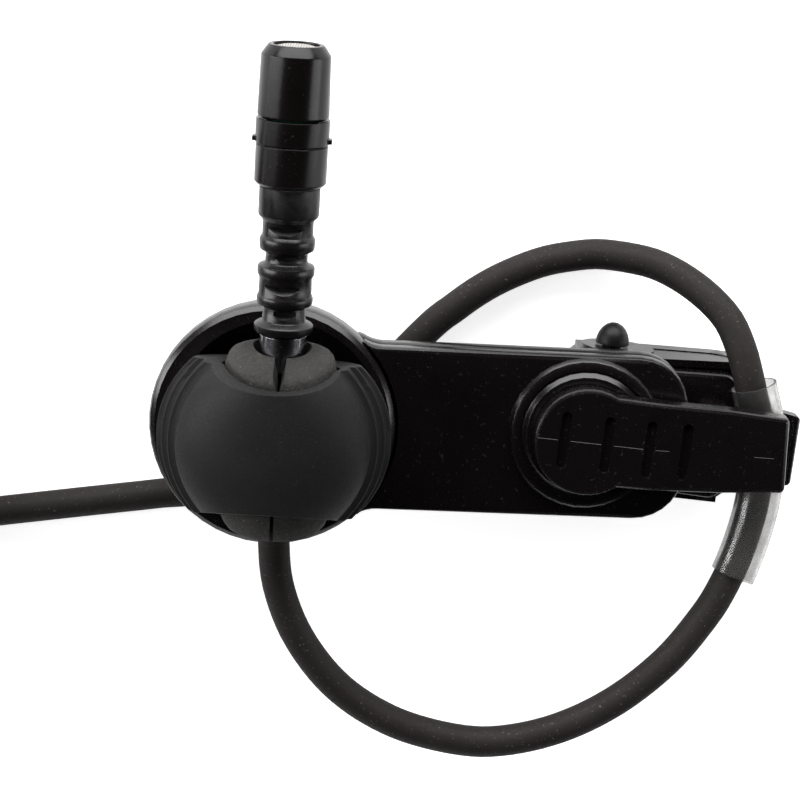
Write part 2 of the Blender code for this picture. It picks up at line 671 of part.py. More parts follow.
def make_ball(tilt, rubber):
    """The ball: ribbed sides, ends cut square to the microphone, a tunnel and a stud slot."""
    ball = loft("ball", [ball_section(i / 5 - 1) for i in range(11)], rubber, tilt)
    past = max(BALL_ENDS) + 3
    middle = PAD_RAISE
    waist = [(x + MIC_X, z) for x, z in egg(PAD_WAIST_X + FIT, middle - PAD_WAIST_Z - FIT,
                                            middle + PAD_WAIST_Z + FIT, middle)]
    combine(ball, across_prism("tunnel", waist, -past, past, tilt))
    mouth = egg(PAD_HALF_X + MOUTH_PLAY, PAD_RAISE - PAD_HALF_Z - FIT, MOUTH_FRONT_Z, PAD_RAISE)
    mouth = [(x + MIC_X, z) for x, z in mouth]
    combine(ball, across_prism("mic_mouth", mouth, MOUTH_DEPTH_S, past, tilt))
    combine(ball, across_prism("lead_mouth", mouth, -past, -MOUTH_DEPTH_S, tilt))
    head_low = STUD_HEAD_Z - BALL_Z
    tilt_room = STUD_TRAVEL + 0.4
    combine(ball, box("stud_slot", (-STUD_R - FIT, STUD_R + FIT),
                      (-STUD_R - tilt_room, STUD_R + tilt_room),
                      (-BALL_R - 1, head_low), None, tilt))
    combine(ball, box("stud_room", (-STUD_HEAD_R - FIT, STUD_HEAD_R + FIT),
                      (-STUD_HEAD_R - tilt_room + 0.2, STUD_HEAD_R + tilt_room - 0.2),
                      (head_low - 0.45, head_low + STUD_HEAD_HIGH + 0.65), None, tilt))
    return ball


def across_prism(name, outline, low, high, parent):
    """A hidden cutter: an outline of (x, z) points pushed along the microphone's axis."""
    rings = [[(x, level, z) for x, z in outline] for level in (low, high)]
    return loft(name, rings, None, parent)


def make_stud(turn, steel):
    """The T-shaped stud that draws the ball into the cup, and its nut in the cup's back."""
    top = STUD_HEAD_Z + STUD_HEAD_HIGH
    low = CUP_BACK_Z + 0.1
    z = [level - BALL_Z for level in (low, STUD_HEAD_Z, top)]
    turned("ball_stud", ((z[0], 0), (z[0], STUD_R), (z[1], STUD_R), (z[1], STUD_HEAD_R),
                         (z[2] - 0.15, STUD_HEAD_R), (z[2], STUD_HEAD_R - 0.15), (z[2], 0)),
           steel, turn, steps=24)
    nut_low = CUP_BACK_Z + FIT - BALL_Z
    pipe("stud_nut", ((nut_low, NUT_R), (nut_low + NUT_HIGH, NUT_R)),
         ((nut_low, STUD_R + FIT), (nut_low + NUT_HIGH, STUD_R + FIT)), steel, turn, steps=24)


def grommet_rings():
    """The uncut grommet: a waist inside the ball and a rounded lobe in each mouth."""
    depth = MOUTH_DEPTH_S + FIT
    stations = (
        (PAD_REAR_S, 0.5), (PAD_REAR_S + 0.25, 0.72), (PAD_REAR_S + 0.9, 0.9), (-5.5, 1.0),
        (-depth, 1.0), (-depth, None), (depth, None), (depth, 1.0), (5.4, 1.0),
        (PAD_FRONT_S - 0.7, 0.9), (PAD_FRONT_S - 0.2, 0.75), (PAD_FRONT_S, 0.55))
    rings = []
    for s, scale in stations:
        if scale is None:
            outline = egg(PAD_WAIST_X, PAD_RAISE - PAD_WAIST_Z, PAD_RAISE + PAD_WAIST_Z, PAD_RAISE)
        else:
            outline = egg(PAD_HALF_X * scale, PAD_RAISE - PAD_HALF_Z * scale,
                          PAD_RAISE + PAD_HALF_Z * scale, PAD_RAISE)
        lean = PAD_LEAN * max(0, s - depth) / (PAD_FRONT_S - depth)
        rings.append([(x + MIC_X, s - lean * max(z, 0), z) for x, z in outline])
    return rings


def make_grommet(tilt, rubber):
    """Two rubber halves, split along the microphone, bored for the ferrule and the lead."""
    wide = PAD_HALF_X + 1
    halves = (("grommet_left", (MIC_X - wide, MIC_X - PAD_SPLIT / 2)),
              ("grommet_right", (MIC_X + PAD_SPLIT / 2, MIC_X + wide)))
    for name, span in halves:
        pad = loft(name, grommet_rings(), rubber, tilt)
        combine(pad, box(name + "_half", span, (PAD_REAR_S - 1, PAD_FRONT_S + 1),
                         (-PAD_HALF_Z - 1, PAD_HALF_Z + 3), None, tilt), "INTERSECT")
        bore = turned(name + "_bore", (
            (PAD_REAR_S - 1, LEAD_D / 2 + FIT), (FERRULE_S - FIT, LEAD_D / 2 + FIT),
            (FERRULE_S - FIT, FERRULE_R + FIT), (PAD_FRONT_S + 1, FERRULE_R + FIT)),
            None, tilt, "Y", (MIC_X, 0, 0), 24)
        combine(pad, bore)


# ---------------------------------------------------------------- microphone

# Outside of the segmented strain relief, as (distance, radius): a collar, ribs and a neck.
RELIEF_PROFILE = (
    (COLLAR_S, 2.05), (8.45, 2.25), (9.0, 2.25), (9.3, 1.65), (10.35, 1.6), (10.6, 2.12),
    (11.1, 2.15), (11.4, 2.0), (12.6, 2.0), (12.9, 2.17), (13.5, 2.17), (13.85, 1.6),
    (14.5, 1.6), (14.85, 2.08), (15.6, 2.12), (15.95, 1.9), (16.9, 1.92), (17.45, 2.3),
    (RELIEF_END_S, 2.3))
RELIEF_WAISTS = ((9.25, 10.5), (11.35, 12.6), (13.7, 14.7), (15.9, 17.0))


def make_microphone(tilt, black, chrome, mesh_metal, board_green, rubber):
    """The microphone's pieces, turned about its own axis."""
    axis = (MIC_X, 0, 0)

    def turn(name, profile, material, steps=24):
        return turned(name, profile, material, tilt, "Y", axis, steps)

    def ring(name, outer, inner, material, steps=28):
        return pipe(name, outer, inner, material, tilt, "Y", axis, steps)

    lead_r = LEAD_D / 2 + FIT
    ring("ferrule", ((FERRULE_S, FERRULE_R - 0.1), (FERRULE_S + 0.1, FERRULE_R),
                     (COLLAR_S - FIT, FERRULE_R)),
         ((FERRULE_S, lead_r), (COLLAR_S - FIT, lead_r)), chrome)
    core_r = RELIEF_BORE_R
    relief = ring("strain_relief", RELIEF_PROFILE, ((COLLAR_S, core_r), (RELIEF_END_S, core_r)),
                  rubber, 16)
    for number, (low, high) in enumerate(RELIEF_WAISTS):
        side = 1 if number % 2 == 0 else -1
        half = (high - low) / 2 - 0.05
        middle = (low + high) / 2
        for way in (side, -side):
            reach = sorted((way * (core_r + 0.35), way * (FERRULE_R + 2)))
            wide = 0.95 if way == side else 0.6
            span_x = (MIC_X - wide, MIC_X + wide)
            tool = box(f"relief_slot_{number}_{'front' if way > 0 else 'back'}", span_x,
                       (middle - half, middle + half), reach, None, tilt)
            combine(relief, tool)
    wall_r = HOUSING_R - MIC_WALL
    core_low = HOUSING_S
    ring("rear_housing", ((core_low, HOUSING_R - 0.25), (core_low + 0.25, HOUSING_R),
                          (RING_S - FIT, HOUSING_R)),
         ((core_low, core_r), (core_low + 0.5, core_r), (core_low + 0.5, wall_r),
          (RING_S - FIT, wall_r)), black)
    coupling = ring("coupling_ring", ((RING_S, RING_R), (CAP_S - FIT, RING_R)),
                    ((RING_S, wall_r), (CAP_S - FIT, wall_r)), black)
    for side in (-1, 1):
        nub = box(f"ring_nub_{side + 1}", sorted((MIC_X + side * (RING_R - 0.2),
                                                  MIC_X + side * (RING_R + 0.2))),
                  (RING_S + 0.05, RING_S + 0.4), (-0.5, 0.5), None, tilt)
        combine(coupling, nub, "UNION")
    mouth = TIP_S - 0.75
    ring("tip_cap", ((CAP_S, CAP_R - 0.08), (CAP_S + 0.1, CAP_R), (mouth, CAP_R - CAP_NARROW),
                     (TIP_S, CAP_MOUTH_R)),
         ((CAP_S, wall_r), (mouth - 0.2, wall_r), (TIP_S - 0.3, CAP_MOUTH_R - MIC_WALL),
          (TIP_S, CAP_MOUTH_R - MIC_WALL)), black)
    screen_r = CAP_MOUTH_R - MIC_WALL - FIT
    turn("grille_screen", ((TIP_S - 0.45, 0), (TIP_S - 0.45, screen_r), (TIP_S - 0.2, screen_r),
                           (TIP_S - 0.08, screen_r * 0.7), (TIP_S - 0.05, 0)), mesh_metal, 24)
    inner_r = wall_r - FIT
    top = mouth - 0.2 - FIT
    ring("seal_ring", ((top - 0.6, inner_r), (top, inner_r)),
         ((top - 0.6, inner_r - 0.6), (top, inner_r - 0.6)), rubber, 24)
    capsule_top = top - 0.6 - FIT
    turn("capsule", ((capsule_top - CAPSULE_LONG, 0), (capsule_top - CAPSULE_LONG, inner_r),
                     (capsule_top - 0.2, inner_r), (capsule_top, inner_r - 0.2),
                     (capsule_top, 0)), mesh_metal, 24)
    board_top = capsule_top - CAPSULE_LONG - FIT
    board_half = inner_r * 0.85
    box("circuit_board", (MIC_X - board_half, MIC_X + board_half),
        (board_top - BOARD_LONG, board_top), (-BOARD_THICK / 2, BOARD_THICK / 2),
        board_green, tilt)


# ---------------------------------------------------------------- lead and coil

def smooth(route, spacing):
    """Points at even spacing along a smooth curve through a route's points."""
    fine = []
    for i in range(len(route) - 1):
        a = Vector(route[max(i - 1, 0)])
        b = Vector(route[i])
        c = Vector(route[i + 1])
        d = Vector(route[min(i + 2, len(route) - 1)])
        for k in range(12):
            t = k / 12
            fine.append(0.5 * (2 * b + (c - a) * t + (2 * a - 5 * b + 4 * c - d) * t ** 2
                               + (3 * b - a - 3 * c + d) * t ** 3))
    fine.append(Vector(route[-1]))
    lengths = [0.0]
    for p, q in zip(fine, fine[1:]):
        lengths.append(lengths[-1] + (q - p).length)
    count = max(2, round(lengths[-1] / spacing))
    points = []
    at = 0
    for i in range(count + 1):
        want = lengths[-1] * i / count
        while at < len(lengths) - 2 and lengths[at + 1] < want:
            at += 1
        part = (want - lengths[at]) / (lengths[at + 1] - lengths[at])
        points.append(fine[at].lerp(fine[at + 1], part))
    return points


def route_length(points):
    """Length of a line of points."""
    return sum((q - p).length for p, q in zip(points, points[1:]))


def trimmed(points, start, end):
    """The points with a little taken off each end."""
    cut = [Vector(p) for p in points]
    cut[0] = cut[0] + (cut[1] - cut[0]).normalized() * start
    cut[-1] = cut[-1] + (cut[-2] - cut[-1]).normalized() * end
    return cut


def nearest(points, target):
    """Index of the point nearest to a target."""
    distances = [(p - Vector(target)).length for p in points]
    return distances.index(min(distances))


def mic_to_clip(s):
    """Where a point of the microphone's axis lies in the clip's frame."""
    arm = Matrix.Rotation(math.radians(ARM_TURN), 4, "Z")
    ball = arm @ Vector((ARM_REACH, 0, BALL_Z))
    aim = Matrix.Rotation(math.radians(BALL_TURN), 4, "Z") @ Matrix.Rotation(
        math.radians(BALL_RISE), 4, "X")
    return tuple(ball + aim @ Vector((MIC_X, s, 0)))


def make_lead(rubber, clear):
    """The lead's free stretches, the clear sleeve that the jaws grip, and the coiled spare."""
    start = [mic_to_clip(s) for s in (FERRULE_S - 2 * FIT, 2.0, -2.0, -5.5, PAD_REAR_S - 0.5)]
    wound = coil_points()
    reach = LEAD_D + CORD_GAP / 2
    meet = [tuple(wound[0] + Vector((x, 0, 0))) for x in (reach + LEAD_D, reach)]
    loop = smooth((*start, *LOOP_ROUTE, *TAIL_ROUTE, *meet), LEAD_STEP)
    cuts = [0, nearest(loop, LOOP_ROUTE[2]), nearest(loop, LOOP_ROUTE[6]),
            nearest(loop, LOOP_ROUTE[11]), len(loop) - 1]
    stretches = {}
    for name, first, last in zip(("lead_ball", "lead_cup", "lead_arm", "lead_tail"),
                                 cuts, cuts[1:]):
        stretches[name] = trimmed(loop[first:last + 1], 0 if first == 0 else CORD_GAP / 2,
                                  CORD_GAP / 2)
    total = 0.0
    for name, points in stretches.items():
        tube(name, points, LEAD_D / 2, rubber)
        total += route_length(points)
        print(f"{name}: {route_length(points):.1f} mm")
    make_sleeve(loop, clear)

    straight = Vector((LEAD_D, 0, 0))
    tube("lead_coil", [wound[0] + straight, *wound, wound[-1] - straight], LEAD_D / 2, rubber, 1)
    gap = coil_gap(wound) - LEAD_D
    total += route_length(wound)
    print(f"lead_coil: {route_length(wound):.1f} mm, least gap to itself {gap:.2f} mm")
    last = smooth(end_route(wound[-1]), LEAD_STEP)
    tube("lead_end", last, LEAD_D / 2, rubber)
    total += route_length(last)
    print(f"lead_end: {route_length(last):.1f} mm; the whole lead {total:.0f} mm")


def make_sleeve(loop, clear):
    """A clear tube slipped over the lead where the jaws bite."""
    first = nearest(loop, (13.4, SLEEVE_START_Y, 8.4))
    last = nearest(loop, (12.7, SLEEVE_END_Y, 7.7))
    path = smooth(loop[first:last + 1], LEAD_STEP / 2)
    rows = []
    for radius in (SLEEVE_BORE_R + SLEEVE_WALL, SLEEVE_BORE_R):
        rings = []
        for i, point in enumerate(path):
            along = path[min(i + 1, len(path) - 1)] - path[max(i - 1, 0)]
            side = along.cross(Vector((0, 0, 1))).normalized()
            up = side.cross(along).normalized()
            ring = []
            for k in range(SLEEVE_SIDES):
                angle = math.tau * k / SLEEVE_SIDES
                out = radius * math.cos(angle) + SLEEVE_SLACK * (1 + math.cos(angle))
                ring.append(point + side * out + up * radius * math.sin(angle))
            rings.append(ring)
        rows.append(rings)
    work = bmesh.new()
    grid = [[work.verts.new(point * MM) for point in ring] for ring in rows[0] + rows[1][::-1]]
    for low, high in zip(grid, grid[1:] + grid[:1]):
        for i in range(SLEEVE_SIDES):
            j = (i + 1) % SLEEVE_SIDES
            work.faces.new((low[i], low[j], high[j], high[i]))
    close_mesh("cable_sleeve", work, clear, None)


def coil_points():
    """The spare lead: spirals in and out again, and climbs a layer where it reverses."""
    points = []
    turns = COIL_TURNS * COIL_LAYERS
    for i in range(turns * COIL_POINTS + 1):
        turn = i / COIL_POINTS
        swing = turn % (2 * COIL_TURNS)
        inward = min(swing, 2 * COIL_TURNS - swing)
        radius = COIL_R - COIL_PITCH * inward
        level = 0.0
        for k in range(1, COIL_LAYERS):
            level += min(1.0, max(0.0, (turn - COIL_TURNS * k) / 0.5 + 0.5))
        angle = -math.pi / 2 - math.tau * turn
        points.append(Vector((COIL_CENTRE[0] + radius * math.cos(angle),
                              COIL_CENTRE[1] + radius * math.sin(angle),
                              LEAD_D / 2 + 0.05 + COIL_PITCH * level)))
    return points


def coil_gap(points):
    """Least distance between two turns, measured on points more than a third of a turn apart."""
    least = 1e9
    apart = COIL_POINTS // 3
    for i, p in enumerate(points):
        for q in points[i + apart:]:
            least = min(least, (p - q).length)
    return least


def end_route(start):
    """From the top of the coil down to the plug's boot."""
    first = start - Vector((LEAD_D + CORD_GAP, 0, 0))
    end = Vector((PLUG_X + BOOT_LONG + CORD_GAP, PLUG_Y, PLUG_R))
    return (tuple(first), tuple(first - Vector((4, 0, 0.1))),
            (first.x - 9, (first.y + PLUG_Y) / 2, (first.z * 3 + PLUG_R) / 4),
            (end.x + 6, PLUG_Y, (first.z + PLUG_R * 3) / 4), (end.x + 2.5, PLUG_Y, PLUG_R),
            tuple(end))


# ---------------------------------------------------------------- plug

def make_plug(metal, black, gold, steel, rubber):
    """A small locking plug lying beside the coil: shell, insert, contacts, latch and boot."""
    axis = (0, PLUG_Y, PLUG_R)
    front = PLUG_X - PLUG_LONG
    inner = PLUG_R - PLUG_WALL
    neck = BOOT_R + FIT

    def turn(name, profile, material, parent=None, steps=24):
        return turned(name, profile, material, parent, "X", axis, steps)

    def ring(name, outer, inner_profile, material, steps=24):
        return pipe(name, outer, inner_profile, material, None, "X", axis, steps)

    shell = ring("plug_shell", ((front, PLUG_R - 0.3), (front + 0.3, PLUG_R),
                                (PLUG_X - 3.0, PLUG_R), (PLUG_X - 0.4, PLUG_R - 0.5),
                                (PLUG_X, PLUG_R - 0.9)),
                 ((front, inner), (PLUG_X - 2.0, inner), (PLUG_X - 2.0, neck), (PLUG_X, neck)),
                 metal)
    latch_x = (front + 5.0, front + 5.0 + LATCH_LONG)
    half = LATCH_WIDE / 2
    opening_y = (PLUG_Y - half - FIT, PLUG_Y + half + FIT)
    combine(shell, box("latch_opening", (latch_x[0] - FIT, latch_x[1] + FIT), opening_y,
                       (PLUG_R + 2, 2 * PLUG_R + 2)))
    insert_r = inner - FIT
    insert = turn("plug_insert", ((front + 0.4, 0), (front + 0.4, insert_r),
                                  (front + 0.4 + INSERT_LONG, insert_r),
                                  (front + 0.4 + INSERT_LONG, 0)), black)
    latch_floor = 2 * PLUG_R - PLUG_WALL - 1.7
    combine(insert, box("latch_room", (latch_x[0] - 0.5, latch_x[1] + 0.5),
                        (opening_y[0] - 0.2, opening_y[1] + 0.2), (latch_floor, 3 * PLUG_R)))
    for number in range(CONTACT_COUNT):
        angle = math.tau * (number + 0.5) / CONTACT_COUNT
        spot = (0, PLUG_Y + CONTACT_RING_R * math.cos(angle),
                PLUG_R + CONTACT_RING_R * math.sin(angle))
        hole = [(front - 1, CONTACT_R + FIT), (PLUG_X, CONTACT_R + FIT)]
        combine(insert, turned(f"contact_hole_{number + 1}", hole, None, None, "X", spot, 8))
        low = front + 1.4
        high = low + INSERT_LONG + 1.5
        turned(f"contact_{number + 1}", ((low, 0), (low, CONTACT_R - 0.1), (low + 0.15, CONTACT_R),
                                         (high - 2, CONTACT_R), (high - 2, CONTACT_R - 0.15),
                                         (high, CONTACT_R - 0.15), (high, 0)),
               gold, None, "X", spot, 8)
    latch = frame_empty("latch_press", ((latch_x[0] + latch_x[1]) / 2, PLUG_Y, 2 * PLUG_R))
    button = rounded(((latch_x[0], latch_floor + 0.75), (latch_x[1], latch_floor + 0.75),
                      (latch_x[1], 2 * PLUG_R), (latch_x[1] - 1.0, 2 * PLUG_R + LATCH_HIGH),
                      (latch_x[0] + 2.0, 2 * PLUG_R + LATCH_HIGH), (latch_x[0], 2 * PLUG_R)),
                     (0.2, 0.2, 0.3, 0.4, 0.6, 0.3), 3)
    piece = side_prism("latch_button", button, PLUG_Y - half, PLUG_Y + half, steel)
    piece.parent = latch
    piece.matrix_parent_inverse = Matrix.Translation(-latch.location)
    leaf = [(latch_x[0] + 0.5, latch_floor + FIT), (latch_x[0] + 3.5, latch_floor + 0.4),
            (latch_x[1] - 0.5, latch_floor + FIT)]
    strip = [*leaf, *[(x, z + 0.2) for x, z in reversed(leaf)]]
    side_prism("latch_spring", strip, PLUG_Y - half + 0.4, PLUG_Y + half - 0.4, steel)
    clamp = (PLUG_X - 2.0 - FIT - CLAMP_LONG, PLUG_X - 2.0 - FIT)
    bore = LEAD_D / 2 + FIT
    ring("cable_clamp", [(x, insert_r) for x in clamp], [(x, bore) for x in clamp], steel)
    end = PLUG_X + BOOT_LONG
    outer = [(PLUG_X - 1.8, BOOT_R), (PLUG_X + 1.5, BOOT_R)]
    run = BOOT_LONG - 3.0
    for rib in range(BOOT_RIBS):
        at = PLUG_X + 1.5 + run * (rib + 0.15) / BOOT_RIBS
        radius = BOOT_R + (BOOT_END_R - BOOT_R) * (rib + 0.5) / BOOT_RIBS
        width = run / BOOT_RIBS
        outer += [(at, radius - 0.45), (at + width * 0.4, radius - 0.45),
                  (at + width * 0.45, radius), (at + width * 0.84, radius)]
    outer += [(end - 1.2, BOOT_END_R), (end - 0.2, BOOT_END_R), (end, BOOT_END_R - 0.2)]
    ring("plug_boot", outer, ((PLUG_X - 1.8, bore), (end, bore)), rubber, 16)


# ---------------------------------------------------------------- the whole microphone

def main():
    """Clear the scene, then make every piece on its joint's frame."""
    for old in list(bpy.data.objects):
        bpy.data.objects.remove(old, do_unlink=True)
    gloss = finish("gloss black plastic", (0.012, 0.012, 0.013), 0.22)
    satin = finish("satin black metal", (0.015, 0.015, 0.016), 0.35, 0.6)
    rubber = finish("matte black rubber", (0.035, 0.034, 0.034), 0.75)
    lead_skin = finish("lead jacket", (0.03, 0.027, 0.025), 0.65)
    clear = finish("clear sleeve", (0.75, 0.75, 0.76), 0.15)
    chrome = finish("dark chrome", (0.45, 0.45, 0.46), 0.15, 1.0)
    steel = finish("bright steel", (0.6, 0.6, 0.61), 0.3, 1.0)
    screen = finish("wire screen", (0.5, 0.5, 0.48), 0.4, 1.0)
    gold = finish("gold plate", (0.9, 0.66, 0.25), 0.25, 1.0)
    nylon = finish("natural nylon", (0.8, 0.79, 0.74), 0.5)
    board = finish("circuit board", (0.03, 0.16, 0.08), 0.45)

    jaw_hinge = frame_empty("jaw_hinge", (HINGE_X, 0, HINGE_Z))
    arm_swivel = frame_empty("arm_swivel", (0, 0, 0), (0, 0, ARM_TURN))
    ball_turn = frame_empty("ball_turn", (ARM_REACH, 0, BALL_Z), (0, 0, BALL_TURN - ARM_TURN),
                            arm_swivel)
    ball_tilt = frame_empty("ball_tilt", (0, 0, 0), (BALL_RISE, 0, 0), ball_turn)

    make_rear_jaw(jaw_hinge, gloss)
    make_front_jaw(gloss)
    make_hinge_pin(gloss)
    make_torsion_spring(steel)
    make_swivel(steel, nylon)
    make_arm(arm_swivel, gloss)
    make_ball(ball_tilt, rubber)
    make_stud(ball_turn, steel)
    make_grommet(ball_tilt, rubber)
    make_microphone(ball_tilt, satin, chrome, screen, board, rubber)
    make_lead(lead_skin, clear)
    make_plug(satin, gloss, gold, steel, rubber)


main()
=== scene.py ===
# %% [markdown]
# # A lavalier microphone on its tie clip
#
# The microphone is a thin black capsule with a strain relief. It sits in a rubber ball, the ball
# turns in a cup at the end of an arm, and the arm swivels on a sprung clip. The solids come
# first, as a fixed frame. This script dresses them: it gives every surface its finish, models
# the soft and round forms finely, lays the lead at its real length, and then sets up the
# camera, the lights and the table top.
#
# Lengths are in metres. The clip lies on its back, +X points to the tips of its jaws and +Z
# points up, towards the viewer.

import json
import math

import bmesh
import bpy
from mathutils import Matrix, Vector


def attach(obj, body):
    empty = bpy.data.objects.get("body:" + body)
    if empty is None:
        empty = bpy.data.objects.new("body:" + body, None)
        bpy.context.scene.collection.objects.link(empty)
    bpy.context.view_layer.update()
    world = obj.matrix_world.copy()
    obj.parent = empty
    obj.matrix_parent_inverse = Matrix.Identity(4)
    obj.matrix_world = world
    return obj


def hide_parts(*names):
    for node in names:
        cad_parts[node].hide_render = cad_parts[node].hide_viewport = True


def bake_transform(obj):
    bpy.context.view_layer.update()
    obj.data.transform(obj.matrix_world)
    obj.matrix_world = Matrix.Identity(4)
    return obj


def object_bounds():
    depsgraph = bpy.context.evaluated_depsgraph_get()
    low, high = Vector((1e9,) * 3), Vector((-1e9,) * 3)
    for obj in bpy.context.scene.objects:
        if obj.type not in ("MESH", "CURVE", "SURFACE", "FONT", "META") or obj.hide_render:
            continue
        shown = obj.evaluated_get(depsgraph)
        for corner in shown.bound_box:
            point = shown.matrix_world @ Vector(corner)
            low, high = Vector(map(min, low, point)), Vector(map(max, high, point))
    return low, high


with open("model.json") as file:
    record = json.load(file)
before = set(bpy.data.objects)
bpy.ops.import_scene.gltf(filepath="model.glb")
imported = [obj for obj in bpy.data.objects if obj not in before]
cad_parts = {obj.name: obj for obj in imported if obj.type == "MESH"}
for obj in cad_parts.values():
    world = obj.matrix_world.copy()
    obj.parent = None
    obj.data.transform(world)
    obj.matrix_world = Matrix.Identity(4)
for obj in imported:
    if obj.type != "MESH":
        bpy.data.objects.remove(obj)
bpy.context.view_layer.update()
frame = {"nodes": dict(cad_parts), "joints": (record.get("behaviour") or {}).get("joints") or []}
MM = 0.001
joints = {joint["name"]: joint for joint in frame["joints"]}
ball_centre = Vector(joints["ball_turn"]["pos_m"])
print(f"frame: {len(frame['nodes'])} solids, {len(joints)} joints")

# %% [markdown]
# ## The camera
#
# A long lens keeps the round parts round. It looks almost straight down, tipped 13 degrees so
# that it also sees the top end of the ball. The camera could be turned with angles, but a place,
# an aim and an upward direction are easier to adjust.

# %% The camera
CAMERA_AIM = Vector((-14.88, 0.64, 8.0)) * MM
CAMERA_PLACE = Vector((-19.47, 40.87, 183.39)) * MM
CAMERA_UP = Vector((-0.1132, 0.9936, 0))
CAMERA_LENS = 101.25
CAMERA_SENSOR = 36
CAMERA_RANGE = (0.01, 10)


def make_camera():
    """A camera at CAMERA_PLACE that looks at CAMERA_AIM, with CAMERA_UP upwards in its view."""
    data = bpy.data.cameras.new("camera")
    data.lens = CAMERA_LENS
    data.sensor_width = CAMERA_SENSOR
    data.clip_start, data.clip_end = CAMERA_RANGE
    camera = bpy.data.objects.new("camera", data)
    bpy.context.scene.collection.objects.link(camera)
    back = (CAMERA_PLACE - CAMERA_AIM).normalized()
    right = CAMERA_UP.cross(back).normalized()
    up = back.cross(right)
    camera.matrix_world = Matrix((
        (right.x, up.x, back.x, CAMERA_PLACE.x),
        (right.y, up.y, back.y, CAMERA_PLACE.y),
        (right.z, up.z, back.z, CAMERA_PLACE.z),
        (0, 0, 0, 1)))
    bpy.context.scene.camera = camera


make_camera()
print(f"camera: {(CAMERA_PLACE - CAMERA_AIM).length:.2f} m away, {CAMERA_LENS} mm lens")

# %% [markdown]
# ## Mesh helpers
#
# Most pieces here are lofts: rings of points, one behind the other, joined with quads. A turned
# piece is a loft of circles, and a cord is a loft of circles that follow a curve. BMesh is used
# instead of Blender's operators, because it needs no selection and gives the same mesh each run.

# %% Mesh helpers
def finish_mesh(name, work, material, sharp=40):
    """Turn the faces outwards, shade the round ones smooth, and add the object."""
    bmesh.ops.recalc_face_normals(work, faces=work.faces)
    mesh = bpy.data.meshes.new(name)
    work.to_mesh(mesh)
    work.free()
    mesh.shade_smooth()
    mesh.set_sharp_from_angle(angle=math.radians(sharp))
    mesh.materials.append(material)
    made = bpy.data.objects.new(name, mesh)
    bpy.context.scene.collection.objects.link(made)
    return made


def loft(name, rings, material, closed=False, sharp=40):
    """Quads through rings of equally many points, capped at both ends unless they close up."""
    work = bmesh.new()
    rows = [[work.verts.new(Vector(point)) for point in ring] for ring in rings]
    pairs = list(zip(rows, rows[1:]))
    if closed:
        pairs.append((rows[-1], rows[0]))
    for low, high in pairs:
        for i in range(len(low)):
            j = (i + 1) % len(low)
            work.faces.new((low[i], low[j], high[j], high[i]))
    if not closed:
        for row in (rows[0], rows[-1]):
            work.faces.new(row)
    return finish_mesh(name, work, material, sharp)


print("mesh helpers: finish_mesh, loft")

# %% [markdown]
# ## Rounded edges
#
# No moulded or machined edge is perfectly sharp. A narrow bevel gives each one a face of its
# own that catches the light, which is most of what the eye sees of a black object.

# %% Rounded edges
def add_bevel(piece, width, segments, angle):
    """Round the edges that are sharper than an angle in degrees."""
    step = piece.modifiers.new("rounded edges", "BEVEL")
    step.width = width
    step.segments = segments
    step.limit_method = "ANGLE"
    step.angle_limit = math.radians(angle)
    step.harden_normals = False


print("rounded edges: add_bevel")

# %% [markdown]
# ## Dressing a solid
#
# The solids arrive as flat triangles whose corners aren't joined. A Weld joins them, a small
# Bevel rounds the moulded edges, an Edge Split keeps what stays crisp, and a Weighted Normal
# lets the large faces stay flat while the narrow bevels carry all the curve. Modifiers are used
# here, so that the solids' own meshes stay as they came.

# %% Dressing a solid
WELD_REACH = 1e-6
ROUNDING_STEPS = 3
FLAT_WEIGHT = 80
ROUND_FROM = 24


def dress(node, material, bevel=0.0, crisp=30, from_angle=ROUND_FROM):
    """Give a solid its finish, joined corners and softly rounded edges."""
    piece = frame["nodes"][node]
    piece.data.materials.clear()
    piece.data.materials.append(material)
    for name in ("custom_normal", "sharp_face"):
        found = piece.data.attributes.get(name)
        if found is not None:
            piece.data.attributes.remove(found)
    piece.data.shade_smooth()
    weld = piece.modifiers.new("joined corners", "WELD")
    weld.merge_threshold = WELD_REACH
    if bevel:
        add_bevel(piece, bevel, ROUNDING_STEPS, from_angle)
    split = piece.modifiers.new("crisp edges", "EDGE_SPLIT")
    split.split_angle = math.radians(crisp)
    weighted = piece.modifiers.new("flat faces", "WEIGHTED_NORMAL")
    weighted.weight = FLAT_WEIGHT


print(f"dressing: bevels from {ROUND_FROM} degrees up")

# %% [markdown]
# ## Materials
#
# Each finish is one shader. What they share sits in node groups: fine grain that lifts the
# surface, dust that settles on faces that look up, and wear where an edge is convex, which on the
# satin metal is also a painted highlight. The groups feed Base Color, Roughness and Normal, and
# the rest stays on the shader's own sockets. These helpers add the few nodes that every group
# needs.

# %% Node helpers
def new_group(name, inputs, outputs):
    """An empty shader node group with its sockets; returns the group, its inputs and outputs."""
    group = bpy.data.node_groups.new(name, "ShaderNodeTree")
    for label, kind, value in inputs:
        socket = group.interface.new_socket(name=label, in_out="INPUT", socket_type=kind)
        socket.default_value = value
    for label, kind in outputs:
        group.interface.new_socket(name=label, in_out="OUTPUT", socket_type=kind)
    return group, group.nodes.new("NodeGroupInput"), group.nodes.new("NodeGroupOutput")


def add_noise(nodes, links, scale, detail, roughness=0.55):
    """A noise texture in the object's own coordinates, which start at the frame's origin."""
    place = nodes.new("ShaderNodeTexCoord")
    noise = nodes.new("ShaderNodeTexNoise")
    noise.inputs["Scale"].default_value = scale
    noise.inputs["Detail"].default_value = detail
    noise.inputs["Roughness"].default_value = roughness
    links.new(place.outputs["Object"], noise.inputs["Vector"])
    return noise


